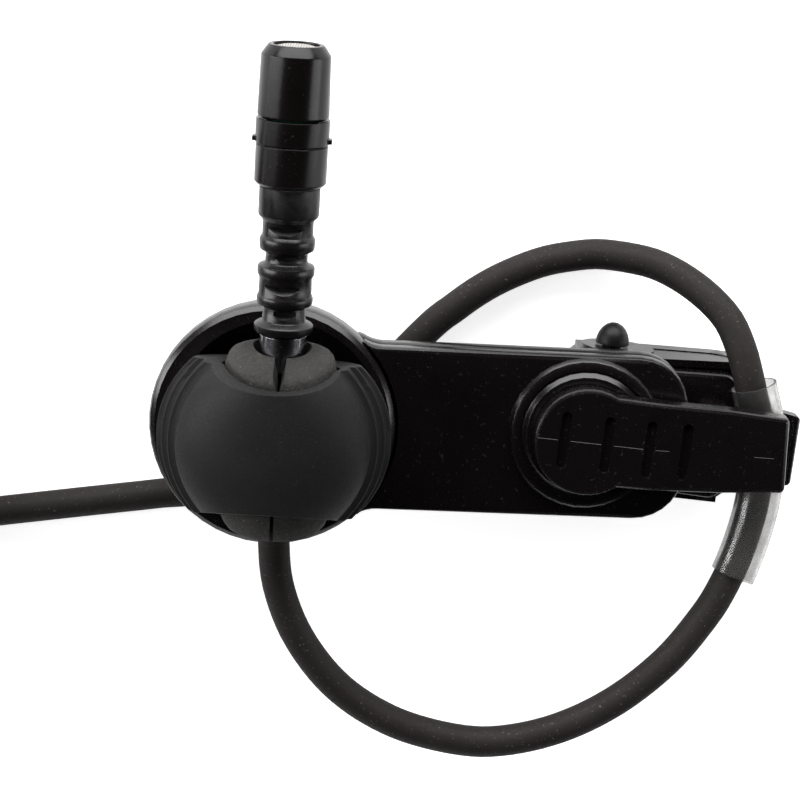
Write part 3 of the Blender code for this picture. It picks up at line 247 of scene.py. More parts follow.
def add_math(nodes, links, operation, first, second):
    """A Math node; each input is a socket or a number."""
    node = nodes.new("ShaderNodeMath")
    node.operation = operation
    for socket, value in zip(node.inputs, (first, second)):
        if isinstance(value, (int, float)):
            socket.default_value = value
        else:
            links.new(value, socket)
    return node.outputs["Value"]


def add_remap(nodes, links, value, span_in, span_out):
    """A clamped Map Range from one span of numbers to another."""
    node = nodes.new("ShaderNodeMapRange")
    links.new(value, node.inputs["Value"])
    for label, number in zip(("From Min", "From Max", "To Min", "To Max"), (*span_in, *span_out)):
        node.inputs[label].default_value = number
    return node.outputs["Result"]


print("node helpers: groups, noise, math and remapping")

# %% [markdown]
# ### Surface grain
#
# Moulded plastic and rubber are never quite flat: there is a slow waviness, and on top of it
# the fine grain of the mould. Two Bump nodes in a row keep the two scales apart, so that each
# material can set their sizes and depths.

# %% Surface grain
def make_grain_group():
    """Two scales of unevenness: returns a bumped Normal, and the fine noise as Value."""
    group, given, result = new_group(
        "surface grain",
        (("Fine Scale", "NodeSocketFloat", 6000.0), ("Broad Scale", "NodeSocketFloat", 700.0),
         ("Fine Depth", "NodeSocketFloat", 0.00002), ("Broad Depth", "NodeSocketFloat", 0.00002)),
        (("Normal", "NodeSocketVector"), ("Value", "NodeSocketFloat")))
    nodes, links = group.nodes, group.links
    broad = add_noise(nodes, links, 700, 2)
    fine = add_noise(nodes, links, 6000, 4, 0.65)
    links.new(given.outputs["Broad Scale"], broad.inputs["Scale"])
    links.new(given.outputs["Fine Scale"], fine.inputs["Scale"])
    lower = nodes.new("ShaderNodeBump")
    upper = nodes.new("ShaderNodeBump")
    links.new(broad.outputs["Fac"], lower.inputs["Height"])
    links.new(given.outputs["Broad Depth"], lower.inputs["Distance"])
    links.new(fine.outputs["Fac"], upper.inputs["Height"])
    links.new(given.outputs["Fine Depth"], upper.inputs["Distance"])
    links.new(lower.outputs["Normal"], upper.inputs["Normal"])
    links.new(upper.outputs["Normal"], result.inputs["Normal"])
    links.new(fine.outputs["Fac"], result.inputs["Value"])
    return group


GRAIN = make_grain_group()
print(f"node group: {GRAIN.name}")

# %% [markdown]
# ### Settled dust
#
# A small black object shows every speck. Dust falls from above, so its amount grows with how
# far a face looks up. The specks are the peaks of a fine noise, and the film is a broad one.

# %% Settled dust
SPECK_PEAKS = (0.66, 0.74)
FILM_SCALE = 260


def make_dust_group():
    """Specks and a thin film of dust, strongest on faces that look up: returns its amount."""
    group, given, result = new_group(
        "settled dust",
        (("Speck Scale", "NodeSocketFloat", 2500.0), ("Speck Amount", "NodeSocketFloat", 0.5),
         ("Film Amount", "NodeSocketFloat", 0.3)),
        (("Amount", "NodeSocketFloat"),))
    nodes, links = group.nodes, group.links
    speck = add_noise(nodes, links, 2500, 2, 0.5)
    film = add_noise(nodes, links, FILM_SCALE, 4, 0.6)
    links.new(given.outputs["Speck Scale"], speck.inputs["Scale"])
    specks = add_remap(nodes, links, speck.outputs["Fac"], SPECK_PEAKS, (0, 1))
    specks = add_math(nodes, links, "MULTIPLY", specks, given.outputs["Speck Amount"])
    films = add_remap(nodes, links, film.outputs["Fac"], (0.35, 0.75), (0.2, 1))
    films = add_math(nodes, links, "MULTIPLY", films, given.outputs["Film Amount"])
    face = nodes.new("ShaderNodeNewGeometry")
    split = nodes.new("ShaderNodeSeparateXYZ")
    links.new(face.outputs["Normal"], split.inputs["Vector"])
    upward = add_remap(nodes, links, split.outputs["Z"], (-0.3, 1.0), (0.25, 1))
    total = add_math(nodes, links, "MAXIMUM", specks, films)
    links.new(add_math(nodes, links, "MULTIPLY", total, upward), result.inputs["Amount"])
    return group


DUST = make_dust_group()
print(f"node group: {DUST.name}")

# %% [markdown]
# ### Edge wear and painted edge highlight
#
# Fingers and cloth polish the edges that stick out, and on the satin metal the same paler edge
# tone is also a painted highlight. Geometry's Pointiness finds them, and a noise breaks them up,
# because real wear is never even.

# %% Edge wear
WORN_AND_LIT_EDGES = (0.60, 0.74)
WEAR_AND_HIGHLIGHT_NOISE = 900


def make_wear_and_highlight_group():
    """Convex edges that handling has polished, also a painted highlight on the satin metal:
    returns their amount, broken up by noise.
    """
    group, given, result = new_group(
        "polished edges and painted highlight",
        (("Sharpness", "NodeSocketFloat", 1.0),),
        (("Amount", "NodeSocketFloat"),))
    nodes, links = group.nodes, group.links
    face = nodes.new("ShaderNodeNewGeometry")
    convex = add_remap(nodes, links, face.outputs["Pointiness"], WORN_AND_LIT_EDGES, (0, 1))
    broken = add_noise(nodes, links, WEAR_AND_HIGHLIGHT_NOISE, 4, 0.7)
    gate = add_remap(nodes, links, broken.outputs["Fac"], (0.4, 0.6), (0.3, 1))
    amount = add_math(nodes, links, "MULTIPLY", convex, gate)
    amount = add_math(nodes, links, "MULTIPLY", amount, given.outputs["Sharpness"])
    links.new(amount, result.inputs["Amount"])
    return group


WEAR = make_wear_and_highlight_group()
print(f"node group: {WEAR.name}")

# %% [markdown]
# ### Placing a group
#
# A material uses a shared group through a node of its own, and sets that node's inputs.

# %% Placing a group
def use_group(nodes, group, values):
    """Place a shared group in a material and set its inputs in order."""
    node = nodes.new("ShaderNodeGroup")
    node.node_tree = group
    for socket, value in zip(node.inputs, values):
        socket.default_value = value
    return node


print("groups are placed by: use_group")

# %% [markdown]
# ### One builder for every finish
#
# A finish mixes three colours: its own, the tone of worn edges, which on the satin metal is also
# a painted highlight, and the tone of dust. Dust and wear also change the roughness, so that they
# show in the highlights as well. One function builds them all, so the finishes differ only in
# their values.

# %% The builder of the finishes
DUST_TONE = (0.21, 0.20, 0.185, 1)
DUST_ROUGHNESS = 0.9
UNEVEN = (0.8, 1.25)


def finish(name, colour, roughness, grain, dust=(2500, 0.0, 0.0), wear_and_highlight=None,
           wear_roughness=0.3, **fixed):
    """A material from the shared groups; fixed gives values for the shader's own sockets."""
    made = bpy.data.materials.new(name)
    made.use_nodes = True
    nodes, links = made.node_tree.nodes, made.node_tree.links
    shader = nodes["Principled BSDF"]
    for label, value in fixed.items():
        shader.inputs[label.replace("_", " ")].default_value = value

    texture = use_group(nodes, GRAIN, grain)
    # The convex-edge tone is real wear, and on the satin metal also a painted highlight.
    worn_and_lit = use_group(nodes, WEAR, (1.0 if wear_and_highlight else 0.0,))
    dusty = use_group(nodes, DUST, dust)
    tone = nodes.new("ShaderNodeMix")
    tone.data_type = "RGBA"
    tone.inputs["A"].default_value = (*colour, 1)
    tone.inputs["B"].default_value = (*(wear_and_highlight or colour), 1)
    links.new(worn_and_lit.outputs["Amount"], tone.inputs["Factor"])
    cover = nodes.new("ShaderNodeMix")
    cover.data_type = "RGBA"
    cover.inputs["B"].default_value = DUST_TONE
    links.new(tone.outputs["Result"], cover.inputs["A"])
    links.new(dusty.outputs["Amount"], cover.inputs["Factor"])
    links.new(cover.outputs["Result"], shader.inputs["Base Color"])

    uneven = add_remap(nodes, links, texture.outputs["Value"], (0.3, 0.7),
                       (roughness * UNEVEN[0], min(1.0, roughness * UNEVEN[1])))
    rubbed = nodes.new("ShaderNodeMix")
    rubbed.inputs["B"].default_value = wear_roughness
    links.new(worn_and_lit.outputs["Amount"], rubbed.inputs["Factor"])
    links.new(uneven, rubbed.inputs["A"])
    matted = nodes.new("ShaderNodeMix")
    matted.inputs["B"].default_value = DUST_ROUGHNESS
    links.new(dusty.outputs["Amount"], matted.inputs["Factor"])
    links.new(rubbed.outputs["Result"], matted.inputs["A"])
    links.new(matted.outputs["Result"], shader.inputs["Roughness"])
    links.new(texture.outputs["Normal"], shader.inputs["Normal"])
    return made


print("builder: finish")

# %% [markdown]
# ### Plastics and rubbers
#
# The clip and arm are glossy black moulded plastic, the ball and its pads are softer rubber,
# the relief is denser rubber with a low sheen, and the lead has a matt jacket. All are black,
# so they are told apart by their gloss, their grain and how much dust clings to them. Grain
# lists the fine and broad scales and their depths; dust lists speck scale, specks and film.

# %% Plastics and rubbers
GLOSS = finish("gloss_black_plastic", (0.0042, 0.003, 0.0033), 0.24,
               grain=(9000, 420, 1.5e-6, 4e-6), dust=(3200, 0.08, 0.006))
RUBBER = finish("matte_black_rubber", (0.0086, 0.0078, 0.0086), 0.6,
                grain=(7000, 900, 1.2e-5, 8e-6), dust=(5200, 0.09, 0.02),
                wear_and_highlight=(0.02, 0.019, 0.019), wear_roughness=0.6, Specular_IOR_Level=0.24)
PADS = finish("pad_rubber", (0.020, 0.0195, 0.019), 0.75,
              grain=(3600, 1300, 1.2e-4, 6e-5), dust=(6500, 0.8, 0.17),
              wear_and_highlight=(0.06, 0.058, 0.055), wear_roughness=0.7, Specular_IOR_Level=0.3)
RELIEF = finish("relief_rubber", (0.0052, 0.0042, 0.0045), 0.3,
                grain=(6000, 800, 5e-6, 8e-6), dust=(3800, 0.10, 0.008),
                wear_and_highlight=(0.02, 0.02, 0.02), wear_roughness=0.4, Specular_IOR_Level=0.42)
JACKET = finish("lead_jacket", (0.0152, 0.0125, 0.012), 0.62,
                grain=(5200, 1500, 1.6e-5, 1.2e-5), dust=(4600, 0.45, 0.035),
                Specular_IOR_Level=0.22)
print(f"soft finishes: {len(bpy.data.materials)}")

# %% [markdown]
# ### Metals
#
# The capsule is lacquered black metal, which shines only along its edges; its paler edge tone is
# partly worn lacquer and partly a painted highlight along its edges and seams. The ferrule is
# dark chrome, the hinge pin is blackened, and the springs and the latch are bare steel. Bare
# metals get a Metallic of 1, and lacquered ones keep it at 0, because the lacquer is what shows.

# %% Metals
# The satin metal's paler edge tone is partly worn lacquer and partly a painted highlight, which
# stands in for the light lines along its edges and seams.
SATIN = finish("satin_black_metal", (0.0042, 0.003, 0.0032), 0.23,
               grain=(11000, 600, 2e-6, 2e-6), dust=(3600, 0.08, 0.006),
               wear_and_highlight=(0.05, 0.05, 0.05), wear_roughness=0.28, Specular_IOR_Level=0.3)
CHROME = finish("dark_chrome", (0.32, 0.31, 0.33), 0.2, grain=(9000, 900, 1.5e-6, 6e-6),
                dust=(3200, 0.1, 0.02), wear_and_highlight=(0.4, 0.4, 0.4), Metallic=1.0)
PIN = finish("blackened_pin", (0.0035, 0.003, 0.003), 0.4,
             grain=(9000, 700, 6e-6, 6e-6), dust=(3600, 0.1, 0.006), wear_and_highlight=(0.02, 0.02, 0.02),
             Specular_IOR_Level=0.25)
STEEL = finish("bright_steel", (0.58, 0.58, 0.59), 0.24, grain=(9000, 1400, 2e-6, 3e-6),
               dust=(3200, 0.1, 0.02), wear_and_highlight=(0.75, 0.75, 0.75), Metallic=1.0)
GOLD = finish("gold_plate", (0.86, 0.6, 0.23), 0.18, grain=(9000, 1400, 1e-6, 2e-6),
              wear_and_highlight=(0.9, 0.72, 0.4), Metallic=1.0)
print("metals: lacquered, chromed, blackened, bare steel and gold plate")

# %% [markdown]
# ### Small inside parts
#
# The arm turns between two nylon washers, and the capsule carries a small circuit board. Little
# of them shows, so a plain pale plastic and a plain green laminate do.

# %% Small inside parts
NYLON = finish("natural_nylon", (0.74, 0.72, 0.66), 0.45, grain=(5000, 900, 4e-6, 6e-6),
               dust=(3000, 0.1, 0.03))
BOARD = finish("circuit_board", (0.02, 0.12, 0.06), 0.4, grain=(7000, 1200, 4e-6, 3e-6),
               dust=(3000, 0.1, 0.03))
print(f"finishes so far: {len(bpy.data.materials)}")

# %% [markdown]
# ### The woven screen
#
# The screen over the microphone's mouth is woven wire. Each wire could be modelled, but there
# are hundreds and each is finer than a hair, so two crossed waves make the bump of the weave and
# paint shade into its holes, where the dark inside would show through.

# %% The woven screen
WIRE_SCALE = 1600
WIRE_HEIGHT = 0.00006
WIRE_RISE = (0.3, 0.8)
WIRE_ROUGHNESS = (0.7, 0.35)
PAINTED_HOLE_SHADE = (0.2, 0.19, 0.18, 1)
WIRE_TONE = (0.55, 0.53, 0.50, 1)


def make_screen():
    """Fine woven wire: crossed waves for the relief and for the painted shade in its holes."""
    made = bpy.data.materials.new("wire_screen")
    made.use_nodes = True
    nodes, links = made.node_tree.nodes, made.node_tree.links
    shader = nodes["Principled BSDF"]
    shader.inputs["Metallic"].default_value = 1.0
    place = nodes.new("ShaderNodeTexCoord")
    heights = []
    for direction in ("X", "Z"):
        wave = nodes.new("ShaderNodeTexWave")
        wave.bands_direction = direction
        wave.inputs["Scale"].default_value = WIRE_SCALE
        wave.inputs["Distortion"].default_value = 0.2
        links.new(place.outputs["Object"], wave.inputs["Vector"])
        heights.append(wave.outputs["Fac"])
    weave = add_math(nodes, links, "MAXIMUM", *heights)
    bump = nodes.new("ShaderNodeBump")
    bump.inputs["Distance"].default_value = WIRE_HEIGHT
    links.new(weave, bump.inputs["Height"])
    links.new(bump.outputs["Normal"], shader.inputs["Normal"])
    tone = nodes.new("ShaderNodeMix")
    tone.data_type = "RGBA"
    # The dark tone of the holes is painted shade, standing in for the dark inside seen through
    # the weave.
    tone.inputs["A"].default_value = PAINTED_HOLE_SHADE
    tone.inputs["B"].default_value = WIRE_TONE
    links.new(add_remap(nodes, links, weave, WIRE_RISE, (0, 1)), tone.inputs["Factor"])
    links.new(tone.outputs["Result"], shader.inputs["Base Color"])
    links.new(add_remap(nodes, links, weave, WIRE_RISE, WIRE_ROUGHNESS),
              shader.inputs["Roughness"])
    return made


SCREEN = make_screen()
print(f"screen: {SCREEN.name}")

# %% [markdown]
# ### The clear tubing
#
# The sleeve is clear tubing. Real tubing is never quite even, so faint waves and a little
# clouding run through its colour and its roughness. Its Transmission Weight and IOR are plain
# values on the shader, because they are the same all over.

# %% The clear tubing
CLOUD_SCALE = 500
CLEAR_TONE = (0.84, 0.84, 0.84, 1)
CLOUD_TONE = (0.62, 0.61, 0.6, 1)
CLEAR_ROUGHNESS = (0.08, 0.24)


def make_clear():
    """Clear tubing with a soft waviness and faint clouding."""
    made = bpy.data.materials.new("clear_sleeve")
    made.use_nodes = True
    nodes, links = made.node_tree.nodes, made.node_tree.links
    shader = nodes["Principled BSDF"]
    shader.inputs["Transmission Weight"].default_value = 0.985
    shader.inputs["IOR"].default_value = 1.4
    shader.inputs["Specular IOR Level"].default_value = 0.35
    cloud = add_noise(nodes, links, CLOUD_SCALE, 4, 0.6)
    tone = nodes.new("ShaderNodeMix")
    tone.data_type = "RGBA"
    tone.inputs["A"].default_value = CLEAR_TONE
    tone.inputs["B"].default_value = CLOUD_TONE
    links.new(add_remap(nodes, links, cloud.outputs["Fac"], (0.35, 0.7), (0, 1)),
              tone.inputs["Factor"])
    links.new(tone.outputs["Result"], shader.inputs["Base Color"])
    links.new(add_remap(nodes, links, cloud.outputs["Fac"], (0.3, 0.7), CLEAR_ROUGHNESS),
              shader.inputs["Roughness"])
    wavy = use_group(nodes, GRAIN, (2500, 450, 2e-6, 3e-5))
    links.new(wavy.outputs["Normal"], shader.inputs["Normal"])
    return made


CLEAR = make_clear()
print(f"materials: {len(bpy.data.materials)}")

# %% [markdown]
# ## The lead
#
# The lead is one cord, 1.1 m long. It leaves the microphone's ferrule, runs through the ball,
# loops round under the jaws, which grip it through a clear sleeve, and goes on behind the arm.
# Its spare length is wound flat beside the clip and ends in the plug.
#
# The loop bends when the arm or the ball turns, so it is made as three stretches of tube, each
# listed with the two bodies at its ends. The rest lies still, and is one curve with the lead's
# real length. Its route is a list of places that a smooth curve passes, in millimetres.

# %% The places that the lead passes
LEAD_D = 2.5
LOOP_ROUTE = (
    (-22.9, -13.9, 13.9), (-20.8, -18.2, 13.7), (-17.3, -22.1, 13.2), (-12.8, -24.7, 12.6),
    (-7.9, -25.9, 12.0), (-3.8, -25.9, 11.5), (0.9, -24.5, 10.9), (5.3, -21.9, 10.2),
    (9.1, -18.2, 9.6), (11.7, -14.3, 9.0), (12.9, -11.8, 8.6), (13.8, -9.0, 8.2),
    (14.4, -6.1, 7.75), (14.6, -3.6, 7.5), (14.4, -0.7, 7.45), (13.9, 2.1, 7.43),
    (13.15, 4.1, 7.66), (12.6, 5.6, 7.7),
)
TAIL_ROUTE = (
    (11.8, 7.65, 7.2), (10.7, 9.6, 6.3), (9.3, 10.9, 5.3), (7.7, 11.9, 4.3), (6.1, 12.6, 3.4),
    (4.5, 13.05, 2.7), (2.8, 13.2, 2.1), (1.2, 13.2, 1.6), (-0.3, 13.1, 1.38), (-2.1, 12.7, 1.3),
    (-4.1, 12.1, 1.3), (-6.0, 11.2, 1.3), (-8.0, 10.0, 1.3), (-9.7, 8.7, 1.3),
    (-11.1, 7.4, 1.3), (-13.0, 5.5, 1.3), (-18.0, -0.8, 1.3), (-24.0, -6.8, 1.3),
    (-30.0, -10.2, 1.3), (-34.0, -11.2, 1.3), (-39.7, -12.5, 1.3), (-46.2, -14.0, 1.3),
    (-53.0, -15.6, 1.3), (-58.0, -16.7, 1.3),
)
PLUG_AXIS = (-17.6, 5.0)
BOOT_END_X = -93.0
print(f"lead: {len(LOOP_ROUTE) + len(TAIL_ROUTE)} places from the ball to the coil")

# %% [markdown]
# ### The microphone's own axes
#
# The microphone is turned a little in its ball. Its pieces are easier to describe along its own
# axis, so one matrix carries them from there into the frame.

# %% The microphone's own axes
BALL_TURN = 3.05
BALL_RISE = 3.0
MIC_X = 0.3
FERRULE_END_S = 5.4
PAD_END_S = -8.0

mic_frame = (Matrix.Translation(ball_centre) @ Matrix.Rotation(math.radians(BALL_TURN), 4, "Z")
             @ Matrix.Rotation(math.radians(BALL_RISE), 4, "X"))


def on_mic(x, s, z):
    """A place in the microphone's own millimetres, s along its axis, as a point in the frame."""
    return mic_frame @ (Vector((x, s, z)) * MM)


print(f"microphone: turned {BALL_TURN} and raised {BALL_RISE} degrees")

# %% [markdown]
# ### A smooth curve through the places
#
# A cord never has a corner. A Catmull-Rom curve passes every place on the list and takes its
# direction there from the two neighbours. Its points are then spaced evenly, so that the tube
# round them has even rings.

# %% A smooth curve
CURVE_STEPS = 12


def smooth(route, spacing):
    """Points at even spacing along a smooth curve through a route's points."""
    fine = []
    for i in range(len(route) - 1):
        a = route[max(i - 1, 0)]
        b = route[i]
        c = route[i + 1]
        d = route[min(i + 2, len(route) - 1)]
        for k in range(CURVE_STEPS):
            t = k / CURVE_STEPS
            fine.append(0.5 * (2 * b + (c - a) * t + (2 * a - 5 * b + 4 * c - d) * t ** 2
                               + (3 * b - a - 3 * c + d) * t ** 3))
    fine.append(route[-1])
    lengths = [0.0]
    for p, q in zip(fine, fine[1:]):
        lengths.append(lengths[-1] + (q - p).length)
    count = max(2, round(lengths[-1] / spacing))
    points = []
    at = 0
    for i in range(count + 1):
        want = lengths[-1] * i / count
        while at < len(lengths) - 2 and lengths[at + 1] < want:
            at += 1
        part = (want - lengths[at]) / (lengths[at + 1] - lengths[at])
        points.append(fine[at].lerp(fine[at + 1], part))
    return points


print(f"curve: {CURVE_STEPS} steps between two places")

# %% [markdown]
# ### The coil
#
# Nearly a metre of lead is spare, and a user winds it up. Each layer is a flat spiral that runs
# in or out, and the lead climbs to the next layer where it turns back, as a wound cable does.

# %% The coil
COIL_TURNS = 3
COIL_LAYERS = 4
COIL_PITCH = 2.95
COIL_R = 16.3
COIL_CENTRE = (-69.0, -1.0)
COIL_STEPS = 64
TABLE_GAP = 0.05


def coil_route():
    """The spare lead: spirals in and out again, and climbs a layer where it reverses."""
    points = []
    for i in range(COIL_TURNS * COIL_LAYERS * COIL_STEPS + 1):
        turn = i / COIL_STEPS
        swing = turn % (2 * COIL_TURNS)
        radius = COIL_R - COIL_PITCH * min(swing, 2 * COIL_TURNS - swing)
        level = sum(min(1.0, max(0.0, (turn - COIL_TURNS * k) / 0.5 + 0.5))
                    for k in range(1, COIL_LAYERS))
        angle = -math.pi / 2 - math.tau * turn
        points.append(Vector((COIL_CENTRE[0] + radius * math.cos(angle),
                              COIL_CENTRE[1] + radius * math.sin(angle),
                              LEAD_D / 2 + TABLE_GAP + COIL_PITCH * level)) * MM)
    return points


print(f"coil: {COIL_TURNS * COIL_LAYERS} turns in {COIL_LAYERS} layers")

# %% [markdown]
# ### The whole route
#
# The route starts inside the ferrule, so that no end shows, and ends inside the plug's boot.

# %% The whole route
INSIDE_BALL_S = (FERRULE_END_S, 2.0, -2.0, -5.5, PAD_END_S)
LEAD_STEP = 0.8
OFF_COIL = (4, 0, 0.1)
EASE_DOWN, EASE_LEVEL, INTO_BOOT = 9, 6, 2.5


def lead_route():
    """The whole lead from the ferrule to the plug's boot, a point every LEAD_STEP or so."""
    start = [on_mic(MIC_X, s, 0) for s in INSIDE_BALL_S]
    wound = coil_route()
    reach = Vector((LEAD_D, 0, 0)) * MM
    route = [Vector(point) * MM for point in (*LOOP_ROUTE, *TAIL_ROUTE)]
    first = smooth([*start, *route, wound[0] + 2 * reach, wound[0] + reach, wound[0]],
                   LEAD_STEP * MM)
    leave = wound[-1] - reach
    boot = Vector((BOOT_END_X, PLUG_AXIS[0], PLUG_AXIS[1])) * MM
    down = [wound[-1], leave, leave - Vector(OFF_COIL) * MM,
            Vector((leave.x - EASE_DOWN * MM, (leave.y + boot.y) / 2,
                    (leave.z * 3 + boot.z) / 4)),
            Vector((boot.x + EASE_LEVEL * MM, boot.y, (leave.z + boot.z * 3) / 4)),
            boot + Vector((INTO_BOOT, 0, 0)) * MM, boot]
    return [*first[:-1], *wound[:-1], *smooth(down, LEAD_STEP * MM)]


def nearest(points, target):
    """Index of the point nearest to a target in millimetres."""
    distances = [(p - Vector(target) * MM).length for p in points]
    return distances.index(min(distances))


lead = lead_route()
cuts = [0, nearest(lead, LOOP_ROUTE[2]), nearest(lead, LOOP_ROUTE[6]),
        nearest(lead, LOOP_ROUTE[11])]
print(f"route: {len(lead)} points, cut at {cuts[1:]}")

# %% [markdown]
# ### The lying part
#
# From the jaws on, the lead lies still. A curve with a round bevel is the simplest tube, and it
# keeps its real length.

# %% The lying part
def make_free_lead(points):
    """The lying part of the lead, as a round curve along its real route."""
    data = bpy.data.curves.new("lead_free", "CURVE")
    data.dimensions = "3D"
    data.bevel_depth = LEAD_D / 2 * MM
    data.bevel_resolution = 6
    data.use_fill_caps = True
    spline = data.splines.new("POLY")
    spline.points.add(len(points) - 1)
    for place, point in zip(spline.points, points):
        place.co = (*point, 1)
    spline.use_smooth = True
    data.materials.append(JACKET)
    made = bpy.data.objects.new("lead_free", data)
    bpy.context.scene.collection.objects.link(made)
    return made


free_points = lead[cuts[3]:]
free_lead = make_free_lead(free_points)
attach(free_lead, "clip")
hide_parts("lead_tail", "lead_coil", "lead_end")

# %% [markdown]
# ### The loop
#
# The loop has to give when a joint moves. Each stretch is a loft of circles, which are turned as
# little as possible from one to the next, so that the tube doesn't twist.

# %% The loop
TUBE_SIDES = 24


def tube_rings(points, radius):
    """Circles across a line of points, turned as little as possible from one to the next."""
    rings = []
    side = None
    for i, point in enumerate(points):
        along = (points[min(i + 1, len(points) - 1)] - points[max(i - 1, 0)]).normalized()
        side = along.orthogonal() if side is None else side
        side = (side - along * side.dot(along)).normalized()
        up = along.cross(side)
        rings.append([point + (side * math.cos(a) + up * math.sin(a)) * radius
                      for a in (math.tau * k / TUBE_SIDES for k in range(TUBE_SIDES))])
    return rings


bending = (("lead_ball", "microphone", "stud"), ("lead_cup", "stud", "arm"),
           ("lead_arm", "arm", "clip"))
for number, (node, first_body, last_body) in enumerate(bending):
    stretch = lead[cuts[number]:cuts[number + 1] + 1]
    piece = loft(f"loop_{number + 1}", tube_rings(stretch, LEAD_D / 2 * MM), JACKET, sharp=60)
    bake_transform(piece)
    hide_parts(node)
print("loop: three stretches")

# %% [markdown]
# ## The ball
#
# The ball is a squat barrel of rubber: round behind, flatter in front, with its ends cut across
# the microphone and three raised ribs down each side. A sphere with pieces cut off wouldn't
# have the ribs' soft steps, so the ball is a loft of sections across the microphone's axis.

# %% The ball's section
BALL_R = 9.05
BALL_ENDS = (5.96, 6.35)
FRONT_LEANS = (0.36, 0.29)
BACK_LEAN = 0.2
RIB_Z = 2.0
BALL_FRONT = 6.9
END_FALL = 0.4
STEP_OUT = (0.0, 0.45, 1.0, 1.6)
STEP_Z = (0.9, 1.7, 2.5)
STEP_CORNERS = ((0, 0, -0.45), (0, 0, -0.12), (0, -0.07, -0.03), (1, 0.06, 0.04), (1, 0, 0.1))
DOME_STEPS = 24
BACK_STEPS = 40


def ball_section(part):
    """The ball's outline across the microphone, from its rear end, -1, to its front end, 1."""
    rear = part < 0
    end = BALL_ENDS[0 if rear else 1]
    front_lean = FRONT_LEANS[0 if rear else 1]
    wide = math.sqrt(BALL_R ** 2 - (part * end) ** 2)
    front = BALL_FRONT - END_FALL * part ** 2
    side = [(wide - STEP_OUT[i + above] + out, z + up)
            for i, z in enumerate(STEP_Z) for above, out, up in STEP_CORNERS]
    dome_wide, dome_low = side[-1]
    for i in range(1, DOME_STEPS):
        angle = math.radians(90 * i / DOME_STEPS)
        side.append((dome_wide * math.cos(angle),
                     dome_low + (front - dome_low) * math.sin(angle)))
    bottom = [(wide * math.cos(a), wide * math.sin(a))
              for a in (math.radians(-180 * i / BACK_STEPS) for i in range(BACK_STEPS + 1))]
    mirrored = [(-x, z) for x, z in side]
    section = [*side, (0, front), *reversed(mirrored), *reversed(bottom)]
    placed = []
    for x, z in section:
        lean = front_lean * (z - RIB_Z) if z > RIB_Z else BACK_LEAN * (RIB_Z - z)
        placed.append((x, part * (end - lean), z))
    return placed


print(f"ball section: {len(ball_section(0))} points")

# %% [markdown]
# ### Tools for pieces on the microphone
#
# The ball's mouths and tunnel are ovals pushed through it. A Boolean takes them out, as a mould's
# cores would, and the cutter is deleted afterwards.

# %% Tools for pieces on the microphone
OVAL_STEPS = 64


def mic_loft(name, rings, material, closed=False, sharp=40):
    """A loft whose points are given in the microphone's own millimetres."""
    return loft(name, [[on_mic(*point) for point in ring] for ring in rings], material,
                closed, sharp)


def egg(half, low, high, middle):
    """An oval in the microphone's millimetres, half wide at height middle, from low to high."""
    outline = []
    for i in range(OVAL_STEPS):
        angle = math.tau * i / OVAL_STEPS
        tall = high - middle if math.sin(angle) > 0 else middle - low
        outline.append((MIC_X + half * math.cos(angle), middle + tall * math.sin(angle)))
    return outline


def carve(piece, cutter):
    """Take the cutter out of the piece for good."""
    step = piece.modifiers.new("carve", "BOOLEAN")
    step.operation = "DIFFERENCE"
    step.solver = "EXACT"
    step.object = cutter
    bpy.context.view_layer.update()
    graph = bpy.context.evaluated_depsgraph_get()
    mesh = bpy.data.meshes.new_from_object(piece.evaluated_get(graph))
    piece.modifiers.clear()
    piece.data = mesh
    bpy.data.objects.remove(cutter)


def across(name, outline, low, high):
    """A cutter: an outline of (x, z) points pushed along the microphone's axis."""
    return mic_loft(name, [[(x, s, z) for x, z in outline] for s in (low, high)], RUBBER)


print(f"ovals: {OVAL_STEPS} sides")

# %% [markdown]
# ### The ball with its mouths
#
# A wide mouth in each end holds the pads, and a tunnel joins them for the lead.

# %% The ball with its mouths
STATIONS = 40
CUT_PAST = 3
PAD_HALF_X = 4.3
PAD_HALF_Z = 3.7
PAD_RAISE = 1.0
MOUTH_HALF_X = PAD_HALF_X + 0.2
MOUTH_LOW_Z = PAD_RAISE - PAD_HALF_Z - 0.15
MOUTH_FRONT_Z = 5.9
MOUTH_DEPTH_S = 3.9
TUNNEL = (3.2, -1.9, 3.9)
BALL_ROUNDING = 0.00014

ball = mic_loft("ball_skin", [ball_section(2 * i / STATIONS - 1) for i in range(STATIONS + 1)],
                RUBBER)
past = max(BALL_ENDS) + CUT_PAST
mouth = egg(MOUTH_HALF_X, MOUTH_LOW_Z, MOUTH_FRONT_Z, PAD_RAISE)
carve(ball, across("mic_mouth", mouth, MOUTH_DEPTH_S, past))
carve(ball, across("lead_mouth", mouth, -past, -MOUTH_DEPTH_S))
carve(ball, across("tunnel", egg(*TUNNEL, PAD_RAISE), -past, past))
add_bevel(ball, BALL_ROUNDING, 2, 50)
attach(ball, "microphone")
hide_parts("ball")
print(f"ball: {len(ball.data.polygons)} faces")

# %% [markdown]
# ## The pads
#
# Two rubber lobes close each mouth of the ball and grip the ferrule and the lead between them.
# Their outline is half an oval, with a round bite where it grips.

# %% The pad's outline
BITE_FLATTEN = 0.97


def pad_outline(side, scale, bore, gap):
    """Half an egg on one side of the split, with a round bite for what it grips."""
    outline = []
    edge = MIC_X + side * gap
    for i in range(25):
        angle = math.radians(-90 + 180 * i / 24)
        outline.append((edge + side * (PAD_HALF_X * scale - gap) * math.cos(angle),
                        PAD_RAISE + PAD_HALF_Z * scale * math.sin(angle)))
    for i in range(17):
        angle = math.radians(90 - 180 * i / 16)
        outline.append((edge + side * bore * math.cos(angle) * BITE_FLATTEN,
                        bore * math.sin(angle)))
    return outline


print(f"pad outline: {2 * PAD_HALF_X} mm over both pads")

# %% [markdown]
# ### Both pads
#
# Each pad is one moulding that swells out of both mouths of the ball. It is a loft of such
# outlines: a station is a place along the axis and the outline's scale there.

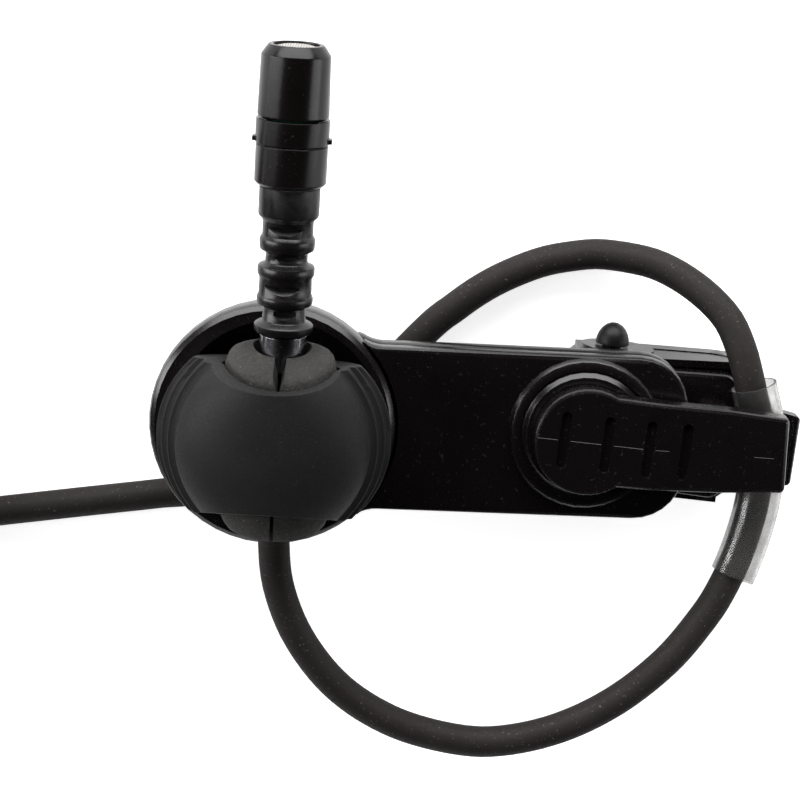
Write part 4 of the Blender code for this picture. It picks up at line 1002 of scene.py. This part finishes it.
# %% Both pads
PAD_FRONT_S = 7.3
PAD_REAR_S = -7.5
PAD_LEAN = 0.3
PAD_GAP = 0.14
PAD_SPREAD = 0.3
SPREAD_FROM_S = 5.6
SPREAD_OVER_S = 1.4
FERRULE_BITE = 1.85
LEAD_BITE = 1.3
PAD_ROUNDING = 0.0001
PAD_STATIONS = (
    (PAD_REAR_S, 0.60), (PAD_REAR_S + 0.12, 0.72), (PAD_REAR_S + 0.4, 0.83),
    (PAD_REAR_S + 0.9, 0.92), (-6.0, 0.985), (-5.4, 1.0), (-4.0, 1.0), (-3.95, 0.75),
    (3.95, 0.75), (4.0, 1.0), (5.6, 1.0), (6.2, 0.985), (PAD_FRONT_S - 0.55, 0.945),
    (PAD_FRONT_S - 0.25, 0.885), (PAD_FRONT_S - 0.07, 0.80), (PAD_FRONT_S, 0.70))


def make_pad(name, node, side):
    """One pad: its lobes swell out of both mouths, with a waist inside the ball."""
    rings = []
    for s, scale in PAD_STATIONS:
        bore = FERRULE_BITE if s > 5 else LEAD_BITE
        lean = PAD_LEAN * max(0, s - MOUTH_DEPTH_S) / (PAD_FRONT_S - MOUTH_DEPTH_S)
        gap = PAD_GAP + PAD_SPREAD * min(1, max(0, s - SPREAD_FROM_S) / SPREAD_OVER_S)
        rings.append([(x, s - lean * max(z, 0), z)
                      for x, z in pad_outline(side, scale, bore, gap)])
    pad = mic_loft(name, rings, PADS, sharp=50)
    add_bevel(pad, PAD_ROUNDING, 2, 45)
    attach(pad, "microphone")
    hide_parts(node)


make_pad("pad_left", "grommet_left", -1)
make_pad("pad_right", "grommet_right", 1)
print(f"pads: two, {PAD_FRONT_S - PAD_REAR_S:.1f} mm long")

# %% [markdown]
# ## The strain relief
#
# A sleeve of rubber with slots cut in turn from the front and the back, so that it bends every
# way but never kinks the lead inside it. The sleeve is turned from its profile, each point a
# place along the axis and a radius, and the slots are carved out of its waists.

# %% The strain relief's body
COLLAR_S = 8.3
RELIEF_END_S = 19.55
RELIEF_BORE_R = 1.0
RELIEF_SIDES = 64
RELIEF_PROFILE = (
    (COLLAR_S, 2.0), (8.38, 2.17), (8.5, 2.25), (8.92, 2.25), (9.03, 2.15), (9.2, 1.75),
    (9.32, 1.66), (10.3, 1.61), (10.42, 1.72), (10.55, 2.04), (10.7, 2.13), (11.05, 2.15),
    (11.2, 2.1), (11.35, 2.02), (12.55, 2.0), (12.7, 2.06), (12.88, 2.15), (13.0, 2.17),
    (13.42, 2.17), (13.55, 2.1), (13.72, 1.7), (13.85, 1.61), (14.45, 1.6), (14.6, 1.7),
    (14.75, 2.0), (14.88, 2.08), (15.55, 2.12), (15.7, 2.06), (15.88, 1.93), (16.9, 1.92),
    (17.1, 2.0), (17.35, 2.25), (17.5, 2.3), (RELIEF_END_S, 2.3))


def relief_ring(s, radius):
    """A circle round the microphone's axis."""
    return [(MIC_X + radius * math.cos(a), s, radius * math.sin(a))
            for a in (math.tau * k / RELIEF_SIDES for k in range(RELIEF_SIDES))]


relief_rings = [relief_ring(s, radius) for s, radius in RELIEF_PROFILE]
relief_rings += [relief_ring(s, RELIEF_BORE_R) for s in (RELIEF_END_S, COLLAR_S)]
relief = mic_loft("relief_skin", relief_rings, RELIEF, True, 35)
print(f"strain relief: {RELIEF_END_S - COLLAR_S:.2f} mm long")

# %% [markdown]
# ### The slots of the strain relief
#
# Each waist has a long slot on one side and a short one on the other, in turn. The slots'
# corners are round, and their lower walls slope, so that they catch the light.

# %% The slots of the strain relief
RELIEF_WAISTS = ((9.25, 10.5), (11.35, 12.6), (13.7, 14.7), (15.9, 17.0))
LONG_SLOT = (-0.3, 1.45, 0.62)
SHORT_SLOT = (0.1, 0.85, 0.85)
SLOT_WALL = ((4.0, 1.3, 0.3), (2.1, 1.0, 0.1), (RELIEF_BORE_R + 0.35, 0.4, -0.18))
SLOT_SIDES = 40
SLOT_ROUNDING = 0.00007


def slot_cutter(x, s, half_long, half_high, front):
    """A rounded slot from the front or the back, with a lower wall that slopes."""
    rings = []
    way = 1 if front else -1
    for out, scale, drop in SLOT_WALL:
        ring = []
        for k in range(SLOT_SIDES):
            angle = math.tau * k / SLOT_SIDES
            along = math.copysign(abs(math.cos(angle)) ** 0.6, math.cos(angle))
            up = math.copysign(abs(math.sin(angle)) ** 0.8, math.sin(angle))
            ring.append((MIC_X + x + half_long * along, s + half_high * scale * up - drop,
                         way * out))
        rings.append(ring)
    return mic_loft("slot", rings, RUBBER)


for number, (low, high) in enumerate(RELIEF_WAISTS):
    for front in (True, False):
        x, half_long, share = LONG_SLOT if front == (number % 2 == 1) else SHORT_SLOT
        carve(relief, slot_cutter(x, (low + high) / 2, half_long, (high - low) / 2 * share,
                                  front))
add_bevel(relief, SLOT_ROUNDING, 2, 40)
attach(relief, "microphone")
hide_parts("strain_relief")
print(f"strain relief: {len(relief.data.polygons)} faces")

# %% [markdown]
# ## The clear sleeve
#
# A short length of clear tubing keeps the jaws' teeth off the lead. The jaws flatten it a little
# where they bite, and it bulges out beside them. It is a loft that runs out along its outside
# and back along its inside, so that it has a real wall for the light to pass.

# %% The clear sleeve
SLEEVE_SLACK = 0.28
SLEEVE_SIDES = 40
SLEEVE_OUTSIDE = 0.3
SLEEVE_INSIDE = 0.1
SLEEVE_FROM = (13.4, -10.6, 8.4)
SLEEVE_TO = (12.7, 5.2, 7.7)


def sleeve_sides(path, radius):
    """Rings round the lead that bulge away from the loop's middle, where the tubing is slack."""
    rings = []
    for i, point in enumerate(path):
        along = (path[min(i + 1, len(path) - 1)] - path[max(i - 1, 0)]).normalized()
        out = along.cross(Vector((0, 0, 1))).normalized()
        up = out.cross(along)
        ring = []
        for k in range(SLEEVE_SIDES):
            angle = math.tau * k / SLEEVE_SIDES
            reach = radius * math.cos(angle) + SLEEVE_SLACK * (1 + math.cos(angle))
            ring.append(point + (out * reach + up * radius * math.sin(angle)) * MM)
        rings.append(ring)
    return rings


sleeve_path = lead[nearest(lead, SLEEVE_FROM):nearest(lead, SLEEVE_TO) + 1]
outside = sleeve_sides(sleeve_path, LEAD_D / 2 + SLEEVE_OUTSIDE)
inside = sleeve_sides(sleeve_path, LEAD_D / 2 + SLEEVE_INSIDE)
sleeve = loft("sleeve_skin", [*outside, *reversed(inside)], CLEAR, True, 50)
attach(sleeve, "clip")
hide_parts("cable_sleeve")
print(f"sleeve: {len(sleeve_path)} rings long")

# %% [markdown]
# ## The mould line of the lever
#
# The halves of the lever's mould met along its middle and left a ridge thinner than a hair,
# worn away in places and broken by the finger grooves. Each stretch is a three-sided loft,
# which needs no texture of its own.

# %% The mould line of the lever
SEAM_SPANS = ((-4.0, -2.4), (-1.4, 1.0), (2.0, 4.3), (5.3, 6.4), (13.3, 14.9))
SEAM_SECTION = ((-0.05, -0.03), (0.05, -0.03), (0, 0.016))
LEVER_BEND = (5.0, 13.0)
LEVER_TIP = (16.0, 11.1)


def lever_top(x):
    """Height of the lever's outer face in mm: flat over the pivot, then falling to the tip."""
    fall = (LEVER_BEND[1] - LEVER_TIP[1]) / (LEVER_TIP[0] - LEVER_BEND[0])
    return LEVER_BEND[1] - fall * max(0.0, x - LEVER_BEND[0])


for number, span in enumerate(SEAM_SPANS):
    rings = [[Vector((x, y, lever_top(x) + z)) * MM for y, z in SEAM_SECTION] for x in span]
    seam = loft(f"lever_seam_{number + 1}", rings, GLOSS)
    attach(seam, "clip")
print(f"mould line: {len(SEAM_SPANS)} stretches")

# %% [markdown]
# ## Dressing the rigid solids
#
# The other pieces keep the solids' shapes. Each gets its finish and a bevel that suits how it
# is made: about a tenth of a millimetre on moulded plastic, half of that on turned metal, and
# none on small parts inside. The lever's faces meet at very low angles, so its bevels start at
# a lower angle than the rest.

# %% Dressing the rigid solids
MOULDED = 0.00012
TURNED = 0.00005
LEVER_ROUND_FROM = 7
DRESS = (
    (GLOSS, MOULDED, 32, ("rear_jaw", "arm_back_shell", "arm_front_shell")),
    (PIN, TURNED, 40, ("hinge_pin",)),
    (SATIN, TURNED, 32, ("rear_housing", "coupling_ring", "tip_cap", "plug_shell")),
    (CHROME, 0.00004, 32, ("ferrule",)),
    (STEEL, 0.0, 40, ("torsion_spring", "swivel_pin", "ball_stud", "stud_nut", "latch_button",
                      "latch_spring", "cable_clamp")),
    (GOLD, 0.0, 40, ("contact_1", "contact_2", "contact_3", "contact_4")),
    (NYLON, 0.0, 35, ("rear_washer", "front_washer")),
    (BOARD, 0.0, 35, ("circuit_board",)),
    (SCREEN, 0.0, 40, ("grille_screen", "capsule")),
    (RUBBER, 0.0, 40, ("seal_ring",)),
    (GLOSS, 0.00005, 35, ("plug_insert",)),
    (RELIEF, 0.00008, 40, ("plug_boot",)),
)

dress("front_jaw", GLOSS, MOULDED, 34, LEVER_ROUND_FROM)
for material, bevel, crisp, nodes in DRESS:
    for node in nodes:
        dress(node, material, bevel, crisp)
print(f"solids: {1 + sum(len(row[-1]) for row in DRESS)} dressed")

# %% [markdown]
# ## The table top
#
# The table is plain white. It glows softly for the camera and more weakly for rays that a gloss
# mirrors or clear tubing lets pass, so the ground stays white and keeps the object's shadow,
# without more light on the object.

# %% The table top
TABLE_TONE = (0.93, 0.93, 0.93, 1)
FLOOR_GLOW = 0.8
MIRRORED_GLOW = 0.45
TABLE_HALF = 3.0


def make_floor():
    """A wide plain floor just under the clip and the coil."""
    work = bmesh.new()
    bmesh.ops.create_grid(work, x_segments=4, y_segments=4, size=TABLE_HALF)
    mesh = bpy.data.meshes.new("floor")
    work.to_mesh(mesh)
    work.free()
    made = bpy.data.materials.new("floor")
    made.use_nodes = True
    nodes, links = made.node_tree.nodes, made.node_tree.links
    shader = nodes["Principled BSDF"]
    shader.inputs["Roughness"].default_value = 0.9
    shader.inputs["Specular IOR Level"].default_value = 0.1
    shader.inputs["Base Color"].default_value = TABLE_TONE
    path = nodes.new("ShaderNodeLightPath")
    seen = add_math(nodes, links, "MULTIPLY", path.outputs["Is Camera Ray"], FLOOR_GLOW)
    passed = add_math(nodes, links, "MAXIMUM", path.outputs["Is Glossy Ray"],
                      path.outputs["Is Transmission Ray"])
    passed = add_math(nodes, links, "MULTIPLY", passed, MIRRORED_GLOW)
    shader.inputs["Emission Color"].default_value = (1, 1, 1, 1)
    links.new(add_math(nodes, links, "ADD", seen, passed), shader.inputs["Emission Strength"])
    mesh.materials.append(made)
    floor = bpy.data.objects.new("floor", mesh)
    bpy.context.scene.collection.objects.link(floor)
    floor.location.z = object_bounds()[0].z


make_floor()
print(f"table: {2 * TABLE_HALF:.0f} m square")

# %% [markdown]
# ## The light
#
# Large soft panels stand low round the clip, so that every glossy edge carries a pale line
# while the faces that look up stay dark. One panel overhead would be simpler, but it would lay
# a grey veil over all the gloss. Each row is a name, a place, a size and a power.

# %% The light
PANEL_SPREAD = 160
PANELS = (
    ("top_panel", (-0.05, 0.42, 0.19), (0.8, 0.30), 3.8),
    ("left_panel", (-0.45, 0.04, 0.15), (0.16, 0.5), 1.6),
    ("right_panel", (0.45, 0.02, 0.10), (0.12, 0.4), 0.5),
    ("low_panel", (-0.02, -0.48, 0.10), (0.5, 0.12), 0.3),
)


def add_panel(name, place, size, power):
    """A soft rectangular light at a place in metres, turned to shine where the camera looks."""
    data = bpy.data.lights.new(name, "AREA")
    data.shape = "RECTANGLE"
    data.size, data.size_y = size
    data.energy = power
    data.spread = math.radians(PANEL_SPREAD)
    lamp = bpy.data.objects.new(name, data)
    bpy.context.scene.collection.objects.link(lamp)
    lamp.location = place
    lamp.rotation_euler = (CAMERA_AIM - Vector(place)).to_track_quat("-Z", "Y").to_euler()


for panel in PANELS:
    add_panel(*panel)
print(f"light: {len(PANELS)} panels")

# %% [markdown]
# ## The room
#
# The world lights the object a little from everywhere. It is nearly dark overhead, so that the
# upward faces stay black, and a little paler low down. Light Path shows a pale room to rays
# that see it direct, which leaves the light on the object as it is.

# %% The room
ROOM_HEIGHTS = (0.35, 0.9)
ROOM_LIGHT = (0.021, 0.0025)


def make_world():
    """A room that is dark overhead and a little paler low down; seen direct, it is pale."""
    world = bpy.data.worlds.new("studio")
    bpy.context.scene.world = world
    world.use_nodes = True
    nodes, links = world.node_tree.nodes, world.node_tree.links
    background = nodes["Background"]
    background.inputs["Color"].default_value = (1, 1, 1, 1)
    place = nodes.new("ShaderNodeTexCoord")
    split = nodes.new("ShaderNodeSeparateXYZ")
    links.new(place.outputs["Generated"], split.inputs["Vector"])
    level = add_remap(nodes, links, split.outputs["Z"], ROOM_HEIGHTS, ROOM_LIGHT)
    path = nodes.new("ShaderNodeLightPath")
    direct = add_math(nodes, links, "MAXIMUM", path.outputs["Is Camera Ray"],
                      path.outputs["Is Transmission Ray"])
    direct = add_math(nodes, links, "MULTIPLY", direct, FLOOR_GLOW)
    links.new(add_math(nodes, links, "MAXIMUM", level, direct), background.inputs["Strength"])


make_world()
bpy.context.scene.view_settings.view_transform = "Standard"
print(f"room: {ROOM_LIGHT[0]} low down to {ROOM_LIGHT[1]} overhead")
